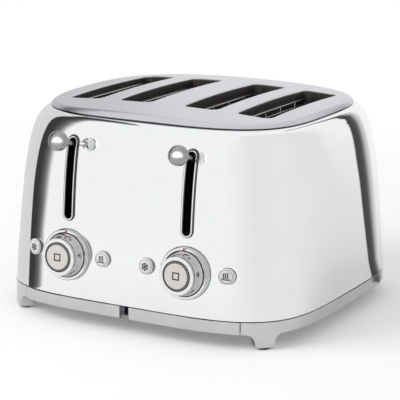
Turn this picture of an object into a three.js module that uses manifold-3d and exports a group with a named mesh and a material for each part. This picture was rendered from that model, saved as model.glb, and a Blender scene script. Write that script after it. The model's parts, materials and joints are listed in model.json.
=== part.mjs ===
/**
 * Four-slice toaster with two levers, two browning dials and two crumb trays.
 *
 * Millimetres, +Z up. The origin lies on the surface that the toaster stands on, under the middle of
 * the whole, levers included; until it is placed there, the pieces are measured from the casing's middle.
 * The controls face -Y. Left and right are as seen from the front, so the left pair of slots is at -X.
 * The steel skin is a loft of rounded rectangles: superellipses whose half sizes shrink with height,
 * slowly along the wall and quickly in the shoulder. Every piece that meets the skin asks casingAt()
 * where it is, so the controls follow the skin when its size changes.
 */
import * as THREE from 'three';
import { mergeVertices } from 'three/addons/utils/BufferGeometryUtils.js';
import Module from 'manifold-3d';

// Casing
const casingWidth = 320; // at the lower edge of the skin
const casingDepth = 297;
const seamWidth = 270; // where the top plate begins
const seamDepth = 236;
const topHeight = 206; // crown of the top plate
const plateRise = 11.2; // crown above the seam
const skinWall = 1.2;
const baseSquarenessShare = 0.516; // 0 is an ellipse, 1 a rectangle
const seamSquarenessShare = 0.42;
const shoulderSquarenessShare = 0.6;
const leanShare = 0.31; // the part of the inward lean that runs evenly up the wall
const shoulderReachShare = 0.992; // how far the shoulder's curve has turned over at the seam

// Top plate
const crownDropAcross = 5.4; // how much lower the crown is at the left and right edges
const crownDropAlong = 4.4; // and at the front and back edges
const plateWall = 1.2;
const plateEdge = 5; // width of the rounded edge
const slotWidth = 34.6;
const slotLength = 147;
const slotCorner = 7;
const slotsBack = 2; // the slots lie this far behind the middle
const collarWall = 1;
const collarDepth = 16;
const pairSpacing = 127; // between the middles of the two pairs
const slotPitch = 56; // between the two slots of a pair

// Band and feet
const footHeight = 14;
const bandHeight = 12;
const bandWall = 3.5;
const bandRound = 1.4; // lower outer edge
const bandGap = 0.7; // dark line under the skin
const rimHeight = 6; // the rim that the skin slips over
const rimWall = 2;
const ledgeWidth = 8;
const ledgeWall = 2;
const footTopWidth = 38;
const footBottomWidth = 18;
const footDepth = 15;
const padRadius = 6.4;
const padStand = 1.6; // rubber that shows under the foot
const padPlug = 3;

// Bottom plate and crumb trays
const bottomWall = 1;
const ventLength = 44;
const ventWidth = 6;
const ventPitch = 24;
const trayWall = 0.8;
const trayHeight = 7;
const trayGap = 0.9; // seam between the two tray fronts
const trayEndMargin = 10; // how far a tray runs past the rear frame

// Frames and heaters
const frameWall = 1.2;
const frameGap = 5; // from the slot's end to the frame
const frameMargin = 6; // frame beyond the outer heater
const frameTopGap = 4; // under the collars
const frameLeg = 3;
const boardWall = 1;
const boardOffset = 24; // outer heater from the slot's middle
const boardHeight = 118;
const boardNotch = 2;
const boardNotchPitch = 24;
const tabHeight = 12;
const tabInset = 16;

// Bread guards
const guardWire = 1.6;
const guardRest = 15.4; // inner face from the slot's middle, lever up
const guardRise = 5; // how far its upper rail stands up inside the collar
const guardBars = 5;
const guardThinShare = 1 / 9; // how much thinner a bar is than a rail, on each side

// Levers and carriages
const leverDrop = 35.5; // stem below the crown, lever up
const dialGap = 7.5; // from the dial's rim up to the lever's bezel
const leverSlotWidth = 7;
const leverSlotMargin = 5.6; // opening above and below the stem's travel
const bezelWidth = 3;
const bezelRise = 1.7;
const bezelSectionShares = [[0.85, 0.7], [0.5, 1], [0.15, 0.7]]; // shares of its width and rise
const bezelCollar = 1.2;
const bezelDepth = 3.6; // how far the collar reaches behind the skin
const channelWall = 1.2;
const channelDepth = 12;
const armWidth = 3;
const armHeight = 8;
const armReach = 6; // the arm stops this far inside the skin
const stemRadius = 2.6;
const ballRadius = 9.5;
const ballReach = 26; // middle of the ball off the skin
const ballFlatShare = 0.9; // its thickness along the stem as a part of its width
const ballNeckShare = 1.5; // where the ball begins, as a part of the stem's radius
const rackDrop = 75; // bread rack below the stem
const rackWall = 3;
const carriageBar = 12; // height of the bar that carries the racks
const rackSpine = 5;
const rackFinger = 15;
const rackFingers = 5;
const carriageWall = 2;
const carriageGap = 2.5; // from the frame
const carriageStrip = 18;
const rodRadius = 2.5;
const rodOffset = 14; // sideways from the lever
const rodReach = 11; // in front of the carriage
const sleeveWall = 2.6;
const sleeveHeight = 12;
const bracketWall = 2;
const springRadius = 4;
const springWire = 1.2;
const springTurns = 7;
const armatureDrop = 52; // below the stem
const armatureReach = 22;

// Controls
const knobHeight = 67;
const dialRadius = 24.4;
const dialRise = 4.4;
const dialWall = 3;
const dialDepth = 8.5; // behind the skin
const dialFlange = 3;
const knobRingRadius = 17.7;
const knobSkirtRadius = 20.6;
const knobReach = 17.2; // front of the ring off the skin
const knobRing = 4; // height of the ring
const knobSkirtRise = 5; // where the skirt is widest
const knobTubeRadius = 6;
const knobTubeBore = 3.9;
const knobFloor = 9; // floor of the recess for the stop button
const stopRadius = 13.4;
const stopReach = 17.8;
const stopTravel = 2;
const stopThick = 6;
const stopRound = 1.1; // rounded edge of its face
const stemPinRadius = 3;
const buttonRadius = 7.5;
const buttonReach = 3.6;
const buttonDepth = 6;
const buttonTravel = 1.5;
const buttonOffset = 39.8; // sideways from the knob
const buttonRise = 1;
const buttonRound = 1.2;
const boardDepth = 25; // control board behind the skin
const circuitWall = 1.6;
const circuitWidth = 96;
const circuitAbove = 27;
const circuitBelow = 32;
const encoderRadius = 9;
const switchSize = 6;
const switchRise = 3;
const magnetRadius = 8;
const magnetCore = 5;
const magnetHeight = 18;
const magnetFlange = 2;
const magnetDrop = 20; // middle below the knob
const postRadius = 3;
const postOffset = 43;

// Cord inlet
const inletRadius = 4.4;
const inletBore = 3.5;
const inletFlange = 1.3;
const inletLip = 1.4;

// Shared
const clearance = 0.3;
const overrun = 6; // how far a cutter runs past what it cuts
const frontCut = 12; // and to each side of the leaning front
const around = 40; // sides of a casing outline
const rounds = 24; // sides of a turned piece that shows
const buttonRounds = 16; // of a small one
const plainRounds = 12; // and of one inside
const probe = 0.5; // step for reading a slope

// Heights and places that follow
const bandTop = footHeight + bandHeight;
const skinBottom = bandTop + bandGap;
const seamHeight = topHeight - plateRise;
const plateBottom = seamHeight + clearance;
const collarBottom = topHeight - collarDepth;
const bottomTop = footHeight + ledgeWall + clearance + bottomWall;
const trayBottom = bottomTop + clearance;
const frameBottom = bandTop + clearance;
const frameTop = collarBottom - frameTopGap;
const frameHalfWidth = (pairSpacing + slotPitch) / 2 + boardOffset + frameMargin;
const frameFront = slotsBack - slotLength / 2 - frameGap - frameWall;
const frameRear = slotsBack + slotLength / 2 + frameGap;
const leverTop = topHeight - leverDrop; // height of the stem where it leaves the skin, lever up
const leverTravel = leverTop - leverSlotMargin - bezelWidth - dialGap - dialRadius - knobHeight;
const rackHeight = leverTop - rackDrop;
const carriageBack = frameFront - carriageGap;
const rodY = carriageBack - carriageWall - rodReach;
const boardBottom = frameBottom + tabInset / 2;
const sides = [{ name: 'left', sign: -1 }, { name: 'right', sign: 1 }];
const places = [{ name: 'outer', sign: 1 }, { name: 'inner', sign: -1 }];

const wasm = await Module();
wasm.setup();

// Mesh helpers

function welded(geometry) {
  const bare = geometry.clone();
  bare.deleteAttribute('normal');
  bare.deleteAttribute('uv');
  const merged = mergeVertices(bare);
  if (signedVolume(merged) < 0) merged.index.array.reverse();
  return merged;
}

function signedVolume(geometry) {
  const points = geometry.attributes.position;
  const corner = [0, 1, 2].map(() => new THREE.Vector3());
  let sum = 0;
  for (let i = 0; i < geometry.index.count; i += 3) {
    corner.forEach((p, k) => p.fromBufferAttribute(points, geometry.index.getX(i + k)));
    sum += corner[0].dot(corner[1].cross(corner[2]));
  }
  return sum / 6;
}

function solid(geometry) {
  const closed = welded(geometry);
  return new wasm.Manifold(new wasm.Mesh({
    numProp: 3,
    vertProperties: new Float32Array(closed.attributes.position.array),
    triVerts: new Uint32Array(closed.index.array),
  }));
}

function geometryOf(shape) {
  const { vertProperties, triVerts } = shape.getMesh();
  const geometry = new THREE.BufferGeometry();
  geometry.setAttribute('position', new THREE.BufferAttribute(new Float32Array(vertProperties), 3));
  geometry.setIndex(new THREE.BufferAttribute(new Uint32Array(triVerts), 1));
  return geometry;
}

const joined = (...parts) => parts.reduce((whole, part) => whole.add(part));
const without = (whole, cuts) => cuts.reduce((left, cut) => left.subtract(cut), whole);

/** A box between two corners. */
function block(x0, x1, y0, y1, z0, z1) {
  const box = new THREE.BoxGeometry(x1 - x0, y1 - y0, z1 - z0);
  return box.translate((x0 + x1) / 2, (y0 + y1) / 2, (z0 + z1) / 2);
}

/** A flat shape of [across, up] points given depth along +Z. */
function prism(shape, z0, z1, curveSegments = 2) {
  const flat = Array.isArray(shape)
    ? new THREE.Shape(shape.map(([x, y]) => new THREE.Vector2(x, y))) : shape;
  return new THREE.ExtrudeGeometry(flat, { depth: z1 - z0, bevelEnabled: false, curveSegments })
    .translate(0, 0, z0);
}

/** The same shape standing up, its points [x, z] and its depth from y0 to y1. */
const standing = (shape, y0, y1) => prism(shape, -y1, -y0).rotateX(Math.PI / 2);

/** The same shape seen from the side, its points [y, z] and its depth from x0 to x1. */
const sideways = (shape, x0, x1) => prism(shape, x0, x1).rotateX(Math.PI / 2).rotateZ(Math.PI / 2);

/** A solid of revolution about +Z from [radius, height] points. */
function turned(profile, segments = rounds) {
  return new THREE.LatheGeometry(profile.map(([r, h]) => new THREE.Vector2(r, h)), segments)
    .rotateX(Math.PI / 2);
}

/** A ring of revolution, whose profile closes on itself. */
const turnedRing = (profile, segments) => turned([...profile, profile[0]], segments);

const disc = (radius, z0, z1, segments = plainRounds) => (
  turned([[0, z0], [radius, z0], [radius, z1], [0, z1]], segments));

function roundedRectangle(halfX, halfY, corner) {
  const shape = new THREE.Shape();
  shape.absarc(halfX - corner, halfY - corner, corner, 0, Math.PI / 2);
  shape.absarc(corner - halfX, halfY - corner, corner, Math.PI / 2, Math.PI);
  shape.absarc(corner - halfX, corner - halfY, corner, Math.PI, Math.PI * 1.5);
  shape.absarc(halfX - corner, corner - halfY, corner, Math.PI * 1.5, Math.PI * 2);
  return shape;
}

/** Joins rings of equal count into a surface, closed round on itself or capped at both ends. */
function loft(rings, { loop = false, capHeights = [] } = {}) {
  const count = rings[0].length;
  const points = rings.flat();
  const index = [];
  const spans = loop ? rings.length : rings.length - 1;
  for (let r = 0; r < spans; r += 1) {
    const next = (r + 1) % rings.length;
    for (let i = 0; i < count; i += 1) {
      const j = (i + 1) % count;
      const [a, b, c, d] = [r * count + i, r * count + j, next * count + j, next * count + i];
      index.push(a, b, c, a, c, d);
    }
  }
  if (!loop) {
    [[0, true], [rings.length - 1, false]].forEach(([r, first], end) => {
      const middle = rings[r].reduce((sum, p) => sum.add(p), new THREE.Vector3()).divideScalar(count);
      middle.z = capHeights[end] ?? middle.z;
      points.push(middle);
      for (let i = 0; i < count; i += 1) {
        const [a, b] = [r * count + i, r * count + ((i + 1) % count)];
        index.push(...(first ? [points.length - 1, b, a] : [points.length - 1, a, b]));
      }
    });
  }
  const geometry = new THREE.BufferGeometry().setFromPoints(points);
  geometry.setIndex(index);
  return geometry;
}

// The casing's form

const powerOf = (squarenessShare) => 2 / (1 - squarenessShare);

const shoulderTurn = (share) => {
  const power = powerOf(shoulderSquarenessShare);
  return 1 - (1 - (share * shoulderReachShare) ** power) ** (1 / power);
};

/** Half sizes and corner power of the skin's outline at a height. */
function casingAt(z) {
  const share = THREE.MathUtils.clamp((z - bandTop) / (seamHeight - bandTop), 0, 1);
  const inward = leanShare * share + (1 - leanShare) * shoulderTurn(share) / shoulderTurn(1);
  return {
    halfX: THREE.MathUtils.lerp(casingWidth, seamWidth, inward) / 2,
    halfY: THREE.MathUtils.lerp(casingDepth, seamDepth, inward) / 2,
    power: THREE.MathUtils.lerp(powerOf(baseSquarenessShare), powerOf(seamSquarenessShare), share),
  };
}

/** Points of a rounded rectangle at a height, or at the height that a function gives for each point. */
function outline({ halfX, halfY, power }, height) {
  return Array.from({ length: around }, (_, i) => {
    const turn = (i / around) * Math.PI * 2;
    const reach = (value) => Math.sign(value) * Math.abs(value) ** (2 / power);
    const [x, y] = [halfX * reach(Math.cos(turn)), halfY * reach(Math.sin(turn))];
    return new THREE.Vector3(x, y, typeof height === 'function' ? height(x, y) : height);
  });
}

/** The skin's outline at a height, drawn in by an inset. */
function casingRing(z, inset = 0) {
  const { halfX, halfY, power } = casingAt(z);
  return outline({ halfX: halfX - inset, halfY: halfY - inset, power }, z);
}

/** A solid block of the casing's outline. */
const casingBlock = (inset, z0, z1) => solid(loft([casingRing(z0, inset), casingRing(z1, inset)]));

/** How far the skin's front lies before the middle. */
function frontY(x, z) {
  const { halfX, halfY, power } = casingAt(z);
  return -halfY * (1 - Math.abs(x / halfX) ** power) ** (1 / power);
}

/** How fast the skin's front falls back sideways. */
const frontFall = (x, z) => (frontY(x + probe, z) - frontY(x - probe, z)) / (2 * probe);

/** Angle by which the skin's front leans back. */
const frontLean = (x, z) => Math.atan((frontY(x, z + probe) - frontY(x, z - probe)) / (2 * probe));

/** A group whose own +Z points straight out of the skin's front. */
function onFront(x, z) {
  const group = new THREE.Group();
  group.position.set(x, frontY(x, z), z);
  group.rotation.x = Math.PI / 2 - frontLean(x, z);
  group.updateMatrixWorld();
  return group;
}

/** Height of the top plate's crown. */
const crown = (x, y) => topHeight - crownDropAcross * (x / (seamWidth / 2)) ** 2
  - crownDropAlong * (y / (seamDepth / 2)) ** 2;

// Pieces of the housing

/** The lever's slot as [x, z] points about its pair's middle, grown outward by an offset. */
function leverSlot(offset = 0) {
  const radius = leverSlotWidth / 2 + offset;
  const high = leverTop + leverSlotMargin - leverSlotWidth / 2;
  const low = leverTop - leverTravel - leverSlotMargin + leverSlotWidth / 2;
  const [arcs, straights] = [6, 5];
  const arc = (way, z) => Array.from({ length: arcs + 1 }, (_, i) => (
    [way * radius * Math.cos(i / arcs * Math.PI), z + way * radius * Math.sin(i / arcs * Math.PI)]));
  const line = (x, from, to) => Array.from({ length: straights - 1 }, (_, i) => (
    [x, from + (to - from) * (i + 1) / straights]));
  return [...arc(1, high), ...line(-radius, high, low), ...arc(-1, low), ...line(radius, low, high)];
}

/** A closed band round the lever's slot, its section in [outward from the opening, off the skin]. */
function slotSurround(pairX, section) {
  const rows = section.map(([offset, rise]) => leverSlot(offset).map(([x, z]) => (
    new THREE.Vector3(x, frontY(pairX + x, z) - rise, z))));
  return loft(rows, { loop: true });
}

/** The bezel's section: a collar through the skin and a rounded lip on it. */
const bezelProfile = () => [
  [0, -bezelDepth], [bezelCollar, -bezelDepth], [bezelCollar, clearance], [bezelWidth, clearance],
  ...bezelSectionShares.map(([across, up]) => [bezelWidth * across, bezelRise * up + clearance]),
];

/** The channel's section: the wall behind the bezel that hides the works. */
function channelProfile() {
  const start = -bezelDepth - clearance;
  const end = start - channelDepth;
  return [[0, end], [channelWall, end], [channelWall, start], [0, start]];
}

const leverCutter = (pairX) => solid(standing(leverSlot(bezelCollar + clearance), -casingDepth, 0))
  .translate([pairX, 0, 0]);

function skinRings(inset) {
  const power = powerOf(shoulderSquarenessShare);
  const last = Math.asin(shoulderReachShare ** (power / 2));
  const steps = 7;
  return Array.from({ length: steps + 1 }, (_, i) => {
    const share = Math.sin(last * i / steps) ** (2 / power) / shoulderReachShare;
    const z = skinBottom + (seamHeight - skinBottom) * share;
    const here = casingAt(z);
    const slope = (casingAt(z).halfX - casingAt(z - probe).halfX) / probe;
    const level = 1 / Math.hypot(1, slope);
    const size = {
      halfX: here.halfX - inset * level, halfY: here.halfY - inset * level, power: here.power,
    };
    return outline(size, z + inset * slope * level * share);
  });
}

/** A cutter for a round hole through the skin's front. */
const frontHole = (radius, segments, place) => (
  solid(disc(radius + clearance, -frontCut, frontCut, segments)).transform(place.matrixWorld.toArray()));

function bodySkin() {
  const shell = solid(loft([...skinRings(0), ...skinRings(skinWall).reverse()], { loop: true }));
  const cuts = sides.flatMap(({ sign }) => {
    const pairX = sign * pairSpacing / 2;
    const dialHole = frontHole(dialRadius, rounds, onFront(pairX, knobHeight));
    const buttonHoles = places.map((button) => frontHole(buttonRadius, buttonRounds,
      onFront(pairX + button.sign * sign * buttonOffset, knobHeight + buttonRise)));
    return [leverCutter(pairX), dialHole, ...buttonHoles];
  });
  return without(shell, cuts);
}

function plateRings(wall) {
  const edge = plateEdge - wall;
  const size = (inset) => ({
    halfX: seamWidth / 2 - inset, halfY: seamDepth / 2 - inset, power: powerOf(seamSquarenessShare),
  });
  const innerShares = [0.4, 0.8];
  const inner = innerShares.map((share) => {
    const { halfX, halfY, power } = size(plateEdge);
    return outline({ halfX: halfX * share, halfY: halfY * share, power }, (x, y) => crown(x, y) - wall);
  });
  const steps = 3;
  const rounded = Array.from({ length: steps + 1 }, (_, i) => {
    const turn = (i / steps) * Math.PI / 2;
    const inset = wall + edge * (1 - Math.sin(turn));
    return outline(size(inset), (x, y) => (
      plateBottom + (crown(x, y) - wall - plateBottom) * Math.cos(turn)));
  });
  return [...inner, ...rounded];
}

const slotPlaces = () => sides.flatMap((side) => places.map((place) => (
  side.sign * (pairSpacing / 2 + place.sign * slotPitch / 2))));

function topPlate() {
  const upper = plateRings(0);
  const sheet = solid(loft([...upper, ...plateRings(plateWall).reverse()],
    { capHeights: [topHeight, topHeight - plateWall] }));
  const seam = { halfX: seamWidth / 2, halfY: seamDepth / 2, power: powerOf(seamSquarenessShare) };
  const filled = solid(loft([...upper, outline(seam, collarBottom)], { capHeights: [topHeight] }));
  const slotBlock = (grow, z0, z1) => prism(
    roundedRectangle(slotWidth / 2 + grow, slotLength / 2 + grow, slotCorner + grow), z0, z1);
  const collars = slotPlaces().map((x) => filled.intersect(
    solid(slotBlock(collarWall, collarBottom, topHeight + overrun).translate(x, slotsBack, 0))));
  const slots = slotPlaces().map((x) => (
    solid(slotBlock(0, collarBottom - overrun, topHeight + overrun).translate(x, slotsBack, 0))));
  return without(joined(sheet, ...collars), slots);
}

/** Loops the casing's outline round with a section of [inset, height] points. */
const bandLoop = (section) => (
  solid(loft(section.map(([inset, z]) => casingRing(z, inset)), { loop: true })));

const frontWallSection = () => [
  [bandRound, footHeight], [0, footHeight + bandRound], [0, bandTop],
  [bandWall, bandTop], [bandWall, footHeight],
];

const ends = [{ end: 'front', way: -1 }, { end: 'rear', way: 1 }];

/** Where a foot stands: the corner's point, the way out of it, and which corner it is. */
function corners() {
  const { halfX, halfY, power } = casingAt(bandTop);
  const reachShare = 0.5 ** (1 / power);
  const out = new THREE.Vector2(1 / halfX, 1 / halfY).normalize();
  return sides.flatMap(({ name, sign }) => ends.map(({ end, way }) => ({
    name: `${name}_${end}`,
    point: new THREE.Vector2(sign * halfX * reachShare, way * halfY * reachShare),
    out: new THREE.Vector2(sign * out.x, way * out.y),
  })));
}

function foot({ point, out }) {
  const top = footHeight + ledgeWall;
  const shape = new THREE.Shape();
  shape.moveTo(-footBottomWidth / 2, padStand);
  shape.lineTo(footBottomWidth / 2, padStand);
  shape.quadraticCurveTo(footBottomWidth / 2, footHeight, footTopWidth / 2, footHeight);
  shape.lineTo(footTopWidth / 2, top);
  shape.lineTo(-footTopWidth / 2, top);
  shape.lineTo(-footTopWidth / 2, footHeight);
  shape.quadraticCurveTo(-footBottomWidth / 2, footHeight, -footBottomWidth / 2, padStand);
  const wedge = standing(shape, -footDepth, footDepth * 2).rotateZ(Math.atan2(out.y, out.x) - Math.PI / 2);
  const seat = disc(padRadius + clearance, -overrun, padStand + padPlug + clearance);
  const pad = padPlace({ point, out });
  return solid(wedge.translate(point.x, point.y, 0)).subtract(solid(seat.translate(pad.x, pad.y, 0)));
}

/** Half the width that the two tray fronts take up between the front feet. */
const trayFrontHalf = () => Math.abs(corners()[0].point.x) - footTopWidth / 2 - clearance;

const padPlace = ({ point, out }) => point.clone().addScaledVector(out, -footDepth / 2);

function baseBand() {
  const inner = skinWall + clearance;
  const ledge = bandWall + ledgeWidth;
  const ring = bandLoop([
    [bandRound, footHeight], [0, footHeight + bandRound], [0, bandTop],
    [inner, bandTop], [inner, bandTop + rimHeight], [inner + rimWall, bandTop + rimHeight],
    [bandWall, bandTop], [bandWall, footHeight + ledgeWall],
    [ledge, footHeight + ledgeWall], [ledge, footHeight],
  ]);
  const rimmed = casingBlock(0, padStand, bandTop).subtract(casingBlock(footDepth, 0, bandTop + overrun));
  const feet = corners().map((corner) => foot(corner).intersect(rimmed));
  const mouthHalf = trayFrontHalf() + clearance;
  const mouthBack = -casingDepth / 2 + bandWall + ledgeWidth + footDepth;
  const trayMouth = solid(block(-mouthHalf, mouthHalf, -casingDepth, mouthBack, 0, bandTop + clearance));
  const cordHole = solid(disc(inletRadius + clearance, 0, casingDepth).rotateX(-Math.PI / 2)
    .translate(0, 0, footHeight + bandHeight / 2));
  return without(joined(ring, ...feet), [trayMouth, cordHole]);
}

function bottomPlate() {
  const z1 = bottomTop;
  const plate = casingBlock(bandWall + clearance, z1 - bottomWall, z1);
  const vents = [];
  const rows = [-1, 1].flatMap((x) => [-1, 1].map((y) => [x, y]));
  const perRow = 3;
  rows.forEach(([x, y]) => {
    for (let i = 0; i < perRow; i += 1) {
      const middleY = slotsBack + y * slotLength / 4 + (i - (perRow - 1) / 2) * ventPitch;
      vents.push(solid(prism(roundedRectangle(ventLength / 2, ventWidth / 2, ventWidth / 3),
        z1 - bottomWall - overrun, z1 + overrun, 1).translate(x * pairSpacing / 2, middleY, 0)));
    }
  });
  const inletHalf = inletRadius + inletLip;
  const notchFront = casingAt(bandTop).halfY - bandWall - inletLip * 2;
  const inletNotch = solid(block(-inletHalf, inletHalf, notchFront, casingDepth, 0, bandTop));
  return without(plate, [...vents, inletNotch]);
}

function trayFront(sign) {
  const half = trayFrontHalf();
  const [x0, x1] = sign > 0 ? [trayGap / 2, half] : [-half, -trayGap / 2];
  return bandLoop(frontWallSection()).intersect(
    solid(block(x0, x1, -casingDepth, 0, 0, bandTop + overrun)));
}

function tray(sign) {
  const inner = frameLeg / 2 + clearance * 2;
  const outer = Math.min(frameHalfWidth - frameLeg, trayFrontHalf()) - clearance * 2;
  const place = (x0, x1, y1, z0, z1) => (sign > 0
    ? block(x0, x1, -casingDepth, y1, z0, z1) : block(-x1, -x0, -casingDepth, y1, z0, z1));
  const back = frameRear + frameWall + trayEndMargin;
  const top = trayBottom + trayHeight;
  const inset = bandWall + clearance;
  const outside = casingBlock(inset, trayBottom, top).intersect(
    solid(place(inner, outer, back, trayBottom, top)));
  const [floor, open] = [trayBottom + trayWall, top + overrun];
  const inside = casingBlock(inset + trayWall, floor, open).intersect(
    solid(place(inner + trayWall, outer - trayWall, back - trayWall, floor, open)));
  return outside.subtract(inside);
}

// Frames and heaters inside

const boardPlaces = () => [-1, 0, 1].map((k) => k * (slotPitch / 2 + boardOffset));

/** A frame plate with its legs, the tall slots for the rack tails and the slits for the heaters' tabs. */
function framePlate(y0, y1) {
  const plate = solid(block(-frameHalfWidth, frameHalfWidth, y0, y1, frameBottom, frameTop));
  const legX = [-frameHalfWidth, -frameLeg / 2, frameHalfWidth - frameLeg];
  const legs = legX.map((x) => solid(block(x, x + frameLeg, y0, y1, trayBottom, frameTop)));
  const [through0, through1] = [y0 - overrun, y1 + overrun];
  const tailHalf = rackSpine / 2 + clearance * 2;
  const tails = slotPlaces().map((x) => solid(block(x - tailHalf, x + tailHalf, through0, through1,
    rackHeight - leverTravel - clearance * 2, rackHeight + rackWall + clearance * 2)));
  const slitHalf = boardWall / 2 + clearance;
  const slitX = sides.flatMap(({ sign }) => boardPlaces().map((x) => sign * pairSpacing / 2 + x));
  const slits = slitX.flatMap((x) => tabPlaces().map((z) => solid(block(x - slitHalf, x + slitHalf,
    through0, through1, z - clearance, z + tabHeight + clearance))));
  return without(joined(plate, ...legs), [...tails, ...slits]);
}

const tabPlaces = () => [boardBottom + tabInset, boardBottom + boardHeight - tabInset - tabHeight];

/** Height and depth of the board's rear face where a post meets it, from the knob's place. */
const postEnd = (pairX) => frontY(pairX, knobHeight) + (boardDepth + circuitWall + clearance)
  / Math.cos(frontLean(pairX, knobHeight));

function frontFrame() {
  const plate = framePlate(frameFront, frameFront + frameWall);
  const reach = rodY - rodRadius - sleeveWall;
  const brackets = [];
  const holes = [];
  sides.forEach(({ sign }) => {
    const pairX = sign * pairSpacing / 2;
    const half = rodOffset + rodRadius + sleeveWall;
    const back = frameFront + frameWall / 2;
    brackets.push(solid(block(pairX - half, pairX + half, reach, back, frameTop - bracketWall, frameTop)));
    brackets.push(solid(block(pairX, pairX + half, reach, back, frameBottom, frameBottom + bracketWall)));
    holes.push(solid(disc(rodRadius + clearance, 0, topHeight).translate(pairX + rodOffset, rodY, 0)));
    const post = disc(postRadius, 0, back - postEnd(pairX)).rotateX(Math.PI / 2);
    [-1, 1].forEach((way) => brackets.push(
      solid(post.clone().translate(pairX + way * postOffset, back, knobHeight))));
  });
  return without(joined(plate, ...brackets), holes);
}

const rearFrame = () => framePlate(frameRear, frameRear + frameWall);

/** A mica sheet with notched edges for its winding and two tabs at each end. */
function heaterBoard() {
  const y0 = frameFront + frameWall + clearance;
  const y1 = frameRear - clearance;
  const z1 = boardBottom + boardHeight;
  const tab = frameWall + clearance * 2;
  const edge = [];
  const notches = Math.floor((y1 - y0) / boardNotchPitch) - 1;
  const firstY = (y0 + y1) / 2 - (notches - 1) / 2 * boardNotchPitch;
  for (let i = 0; i < notches; i += 1) {
    const y = firstY + i * boardNotchPitch;
    edge.push([y - boardNotch / 2, 0], [y, boardNotch], [y + boardNotch / 2, 0]);
  }
  const end = (y, way) => tabPlaces().flatMap((z) => [
    [y, z], [y + way * tab, z], [y + way * tab, z + tabHeight], [y, z + tabHeight]]);
  const upperEdge = edge.map(([y, deep]) => [y, z1 - deep]).reverse();
  const points = [
    [y0, boardBottom], ...edge.map(([y, deep]) => [y, boardBottom + deep]), [y1, boardBottom],
    ...end(y1, 1), [y1, z1], ...upperEdge, [y0, z1], ...end(y0, -1).reverse(),
  ];
  return sideways(points, -boardWall / 2, boardWall / 2);
}

/**
 * A wire grille that stands between the bread and the heater, its bars a little thinner than its rails.
 * The middle bars go on up to a shorter rail inside the slot's collar.
 */
function breadGuard() {
  const y0 = frameFront + frameWall + clearance;
  const y1 = frameRear - clearance;
  const z0 = frameBottom;
  const z1 = collarBottom - clearance * 2;
  const thin = guardWire * guardThinShare;
  const pitch = (y1 - y0 - guardWire) / guardBars;
  const rise = collarBottom + guardRise;
  const [upper0, upper1] = [-1, 1].map((end) => slotsBack + end * (slotLength / 2 - slotCorner));
  const rail = (from, to, top) => solid(block(0, guardWire, from, to, top - guardWire, top));
  const rails = [rail(y0, y1, z0 + guardWire), rail(y0, y1, z1), rail(upper0, upper1, rise)];
  const bars = Array.from({ length: guardBars + 1 }, (_, i) => y0 + i * pitch).map((y) => {
    const top = y > upper0 && y + guardWire < upper1 ? rise : z1;
    return solid(block(thin, guardWire - thin, y + thin, y + guardWire - thin, z0 + thin, top - thin));
  });
  return joined(...rails, ...bars);
}

// Levers

function breadRack() {
  const front = carriageBack + clearance;
  const back = frameRear + frameWall + overrun;
  const half = rackSpine / 2;
  const inner = slotsBack - slotLength / 2 + rackFinger / 2;
  const pitch = (slotLength - rackFinger) / (rackFingers - 1);
  const edge = [[half, front]];
  for (let i = 0; i < rackFingers; i += 1) {
    const y = inner + i * pitch;
    const [near, far] = [y - half / 2, y + half / 2];
    edge.push([half, near], [rackFinger / 2, near], [rackFinger / 2, far], [half, far]);
  }
  edge.push([half, back]);
  const points = [...edge, ...edge.map(([x, y]) => [-x, y]).reverse()];
  return prism(points, rackHeight, rackHeight + rackWall);
}

function carriage() {
  const front = carriageBack - carriageWall;
  const low = rackHeight - rackWall;
  const high = leverTop + armHeight / 2;
  const barTop = low + carriageBar;
  const barHalf = slotPitch / 2 + rackSpine;
  const strip = carriageStrip / 2;
  const tee = [
    [-barHalf, low], [barHalf, low], [barHalf, barTop], [strip, barTop], [strip, high], [-strip, high],
    [-strip, barTop], [-barHalf, barTop],
  ];
  const plate = solid(standing(tee, front, carriageBack));
  const armFront = armTip();
  const arm = solid(block(-armWidth / 2, armWidth / 2, armFront, front + carriageWall / 2,
    high - armHeight, high));
  const armature = solid(block(-strip, strip, front - armatureReach, front + carriageWall / 2,
    leverTop - armatureDrop, leverTop - armatureDrop + carriageWall));
  const sleeveRadius = rodRadius + sleeveWall;
  const sleeves = [low, high - sleeveHeight].flatMap((z) => [
    solid(disc(sleeveRadius, z, z + sleeveHeight).translate(rodOffset, rodY, 0)),
    solid(block(rodOffset - sleeveRadius, rodOffset, rodY, front + carriageWall / 2, z, z + sleeveHeight)),
    solid(block(strip - carriageWall, rodOffset, front, carriageBack, z, z + sleeveHeight)),
  ]);
  const ear = solid(block(-rodOffset - springRadius, -rodOffset + springRadius, rodY - springRadius,
    front + carriageWall / 2, low, low + carriageWall));
  const bore = solid(disc(rodRadius + clearance, 0, topHeight).translate(rodOffset, rodY, 0));
  return joined(plate, arm, armature, ...sleeves, ear).subtract(bore);
}

/** Front end of the carriage's arm, inside the skin, clear of the leaning stem. */
function armTip() {
  const lean = frontLean(pairSpacing / 2, leverTop);
  const stemReach = armReach * Math.cos(lean) + stemRadius * Math.sin(lean);
  return frontY(pairSpacing / 2, leverTop) + stemReach + clearance;
}

const guideRod = () => disc(rodRadius, frameBottom, frameTop).translate(rodOffset, rodY, 0);

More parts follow.
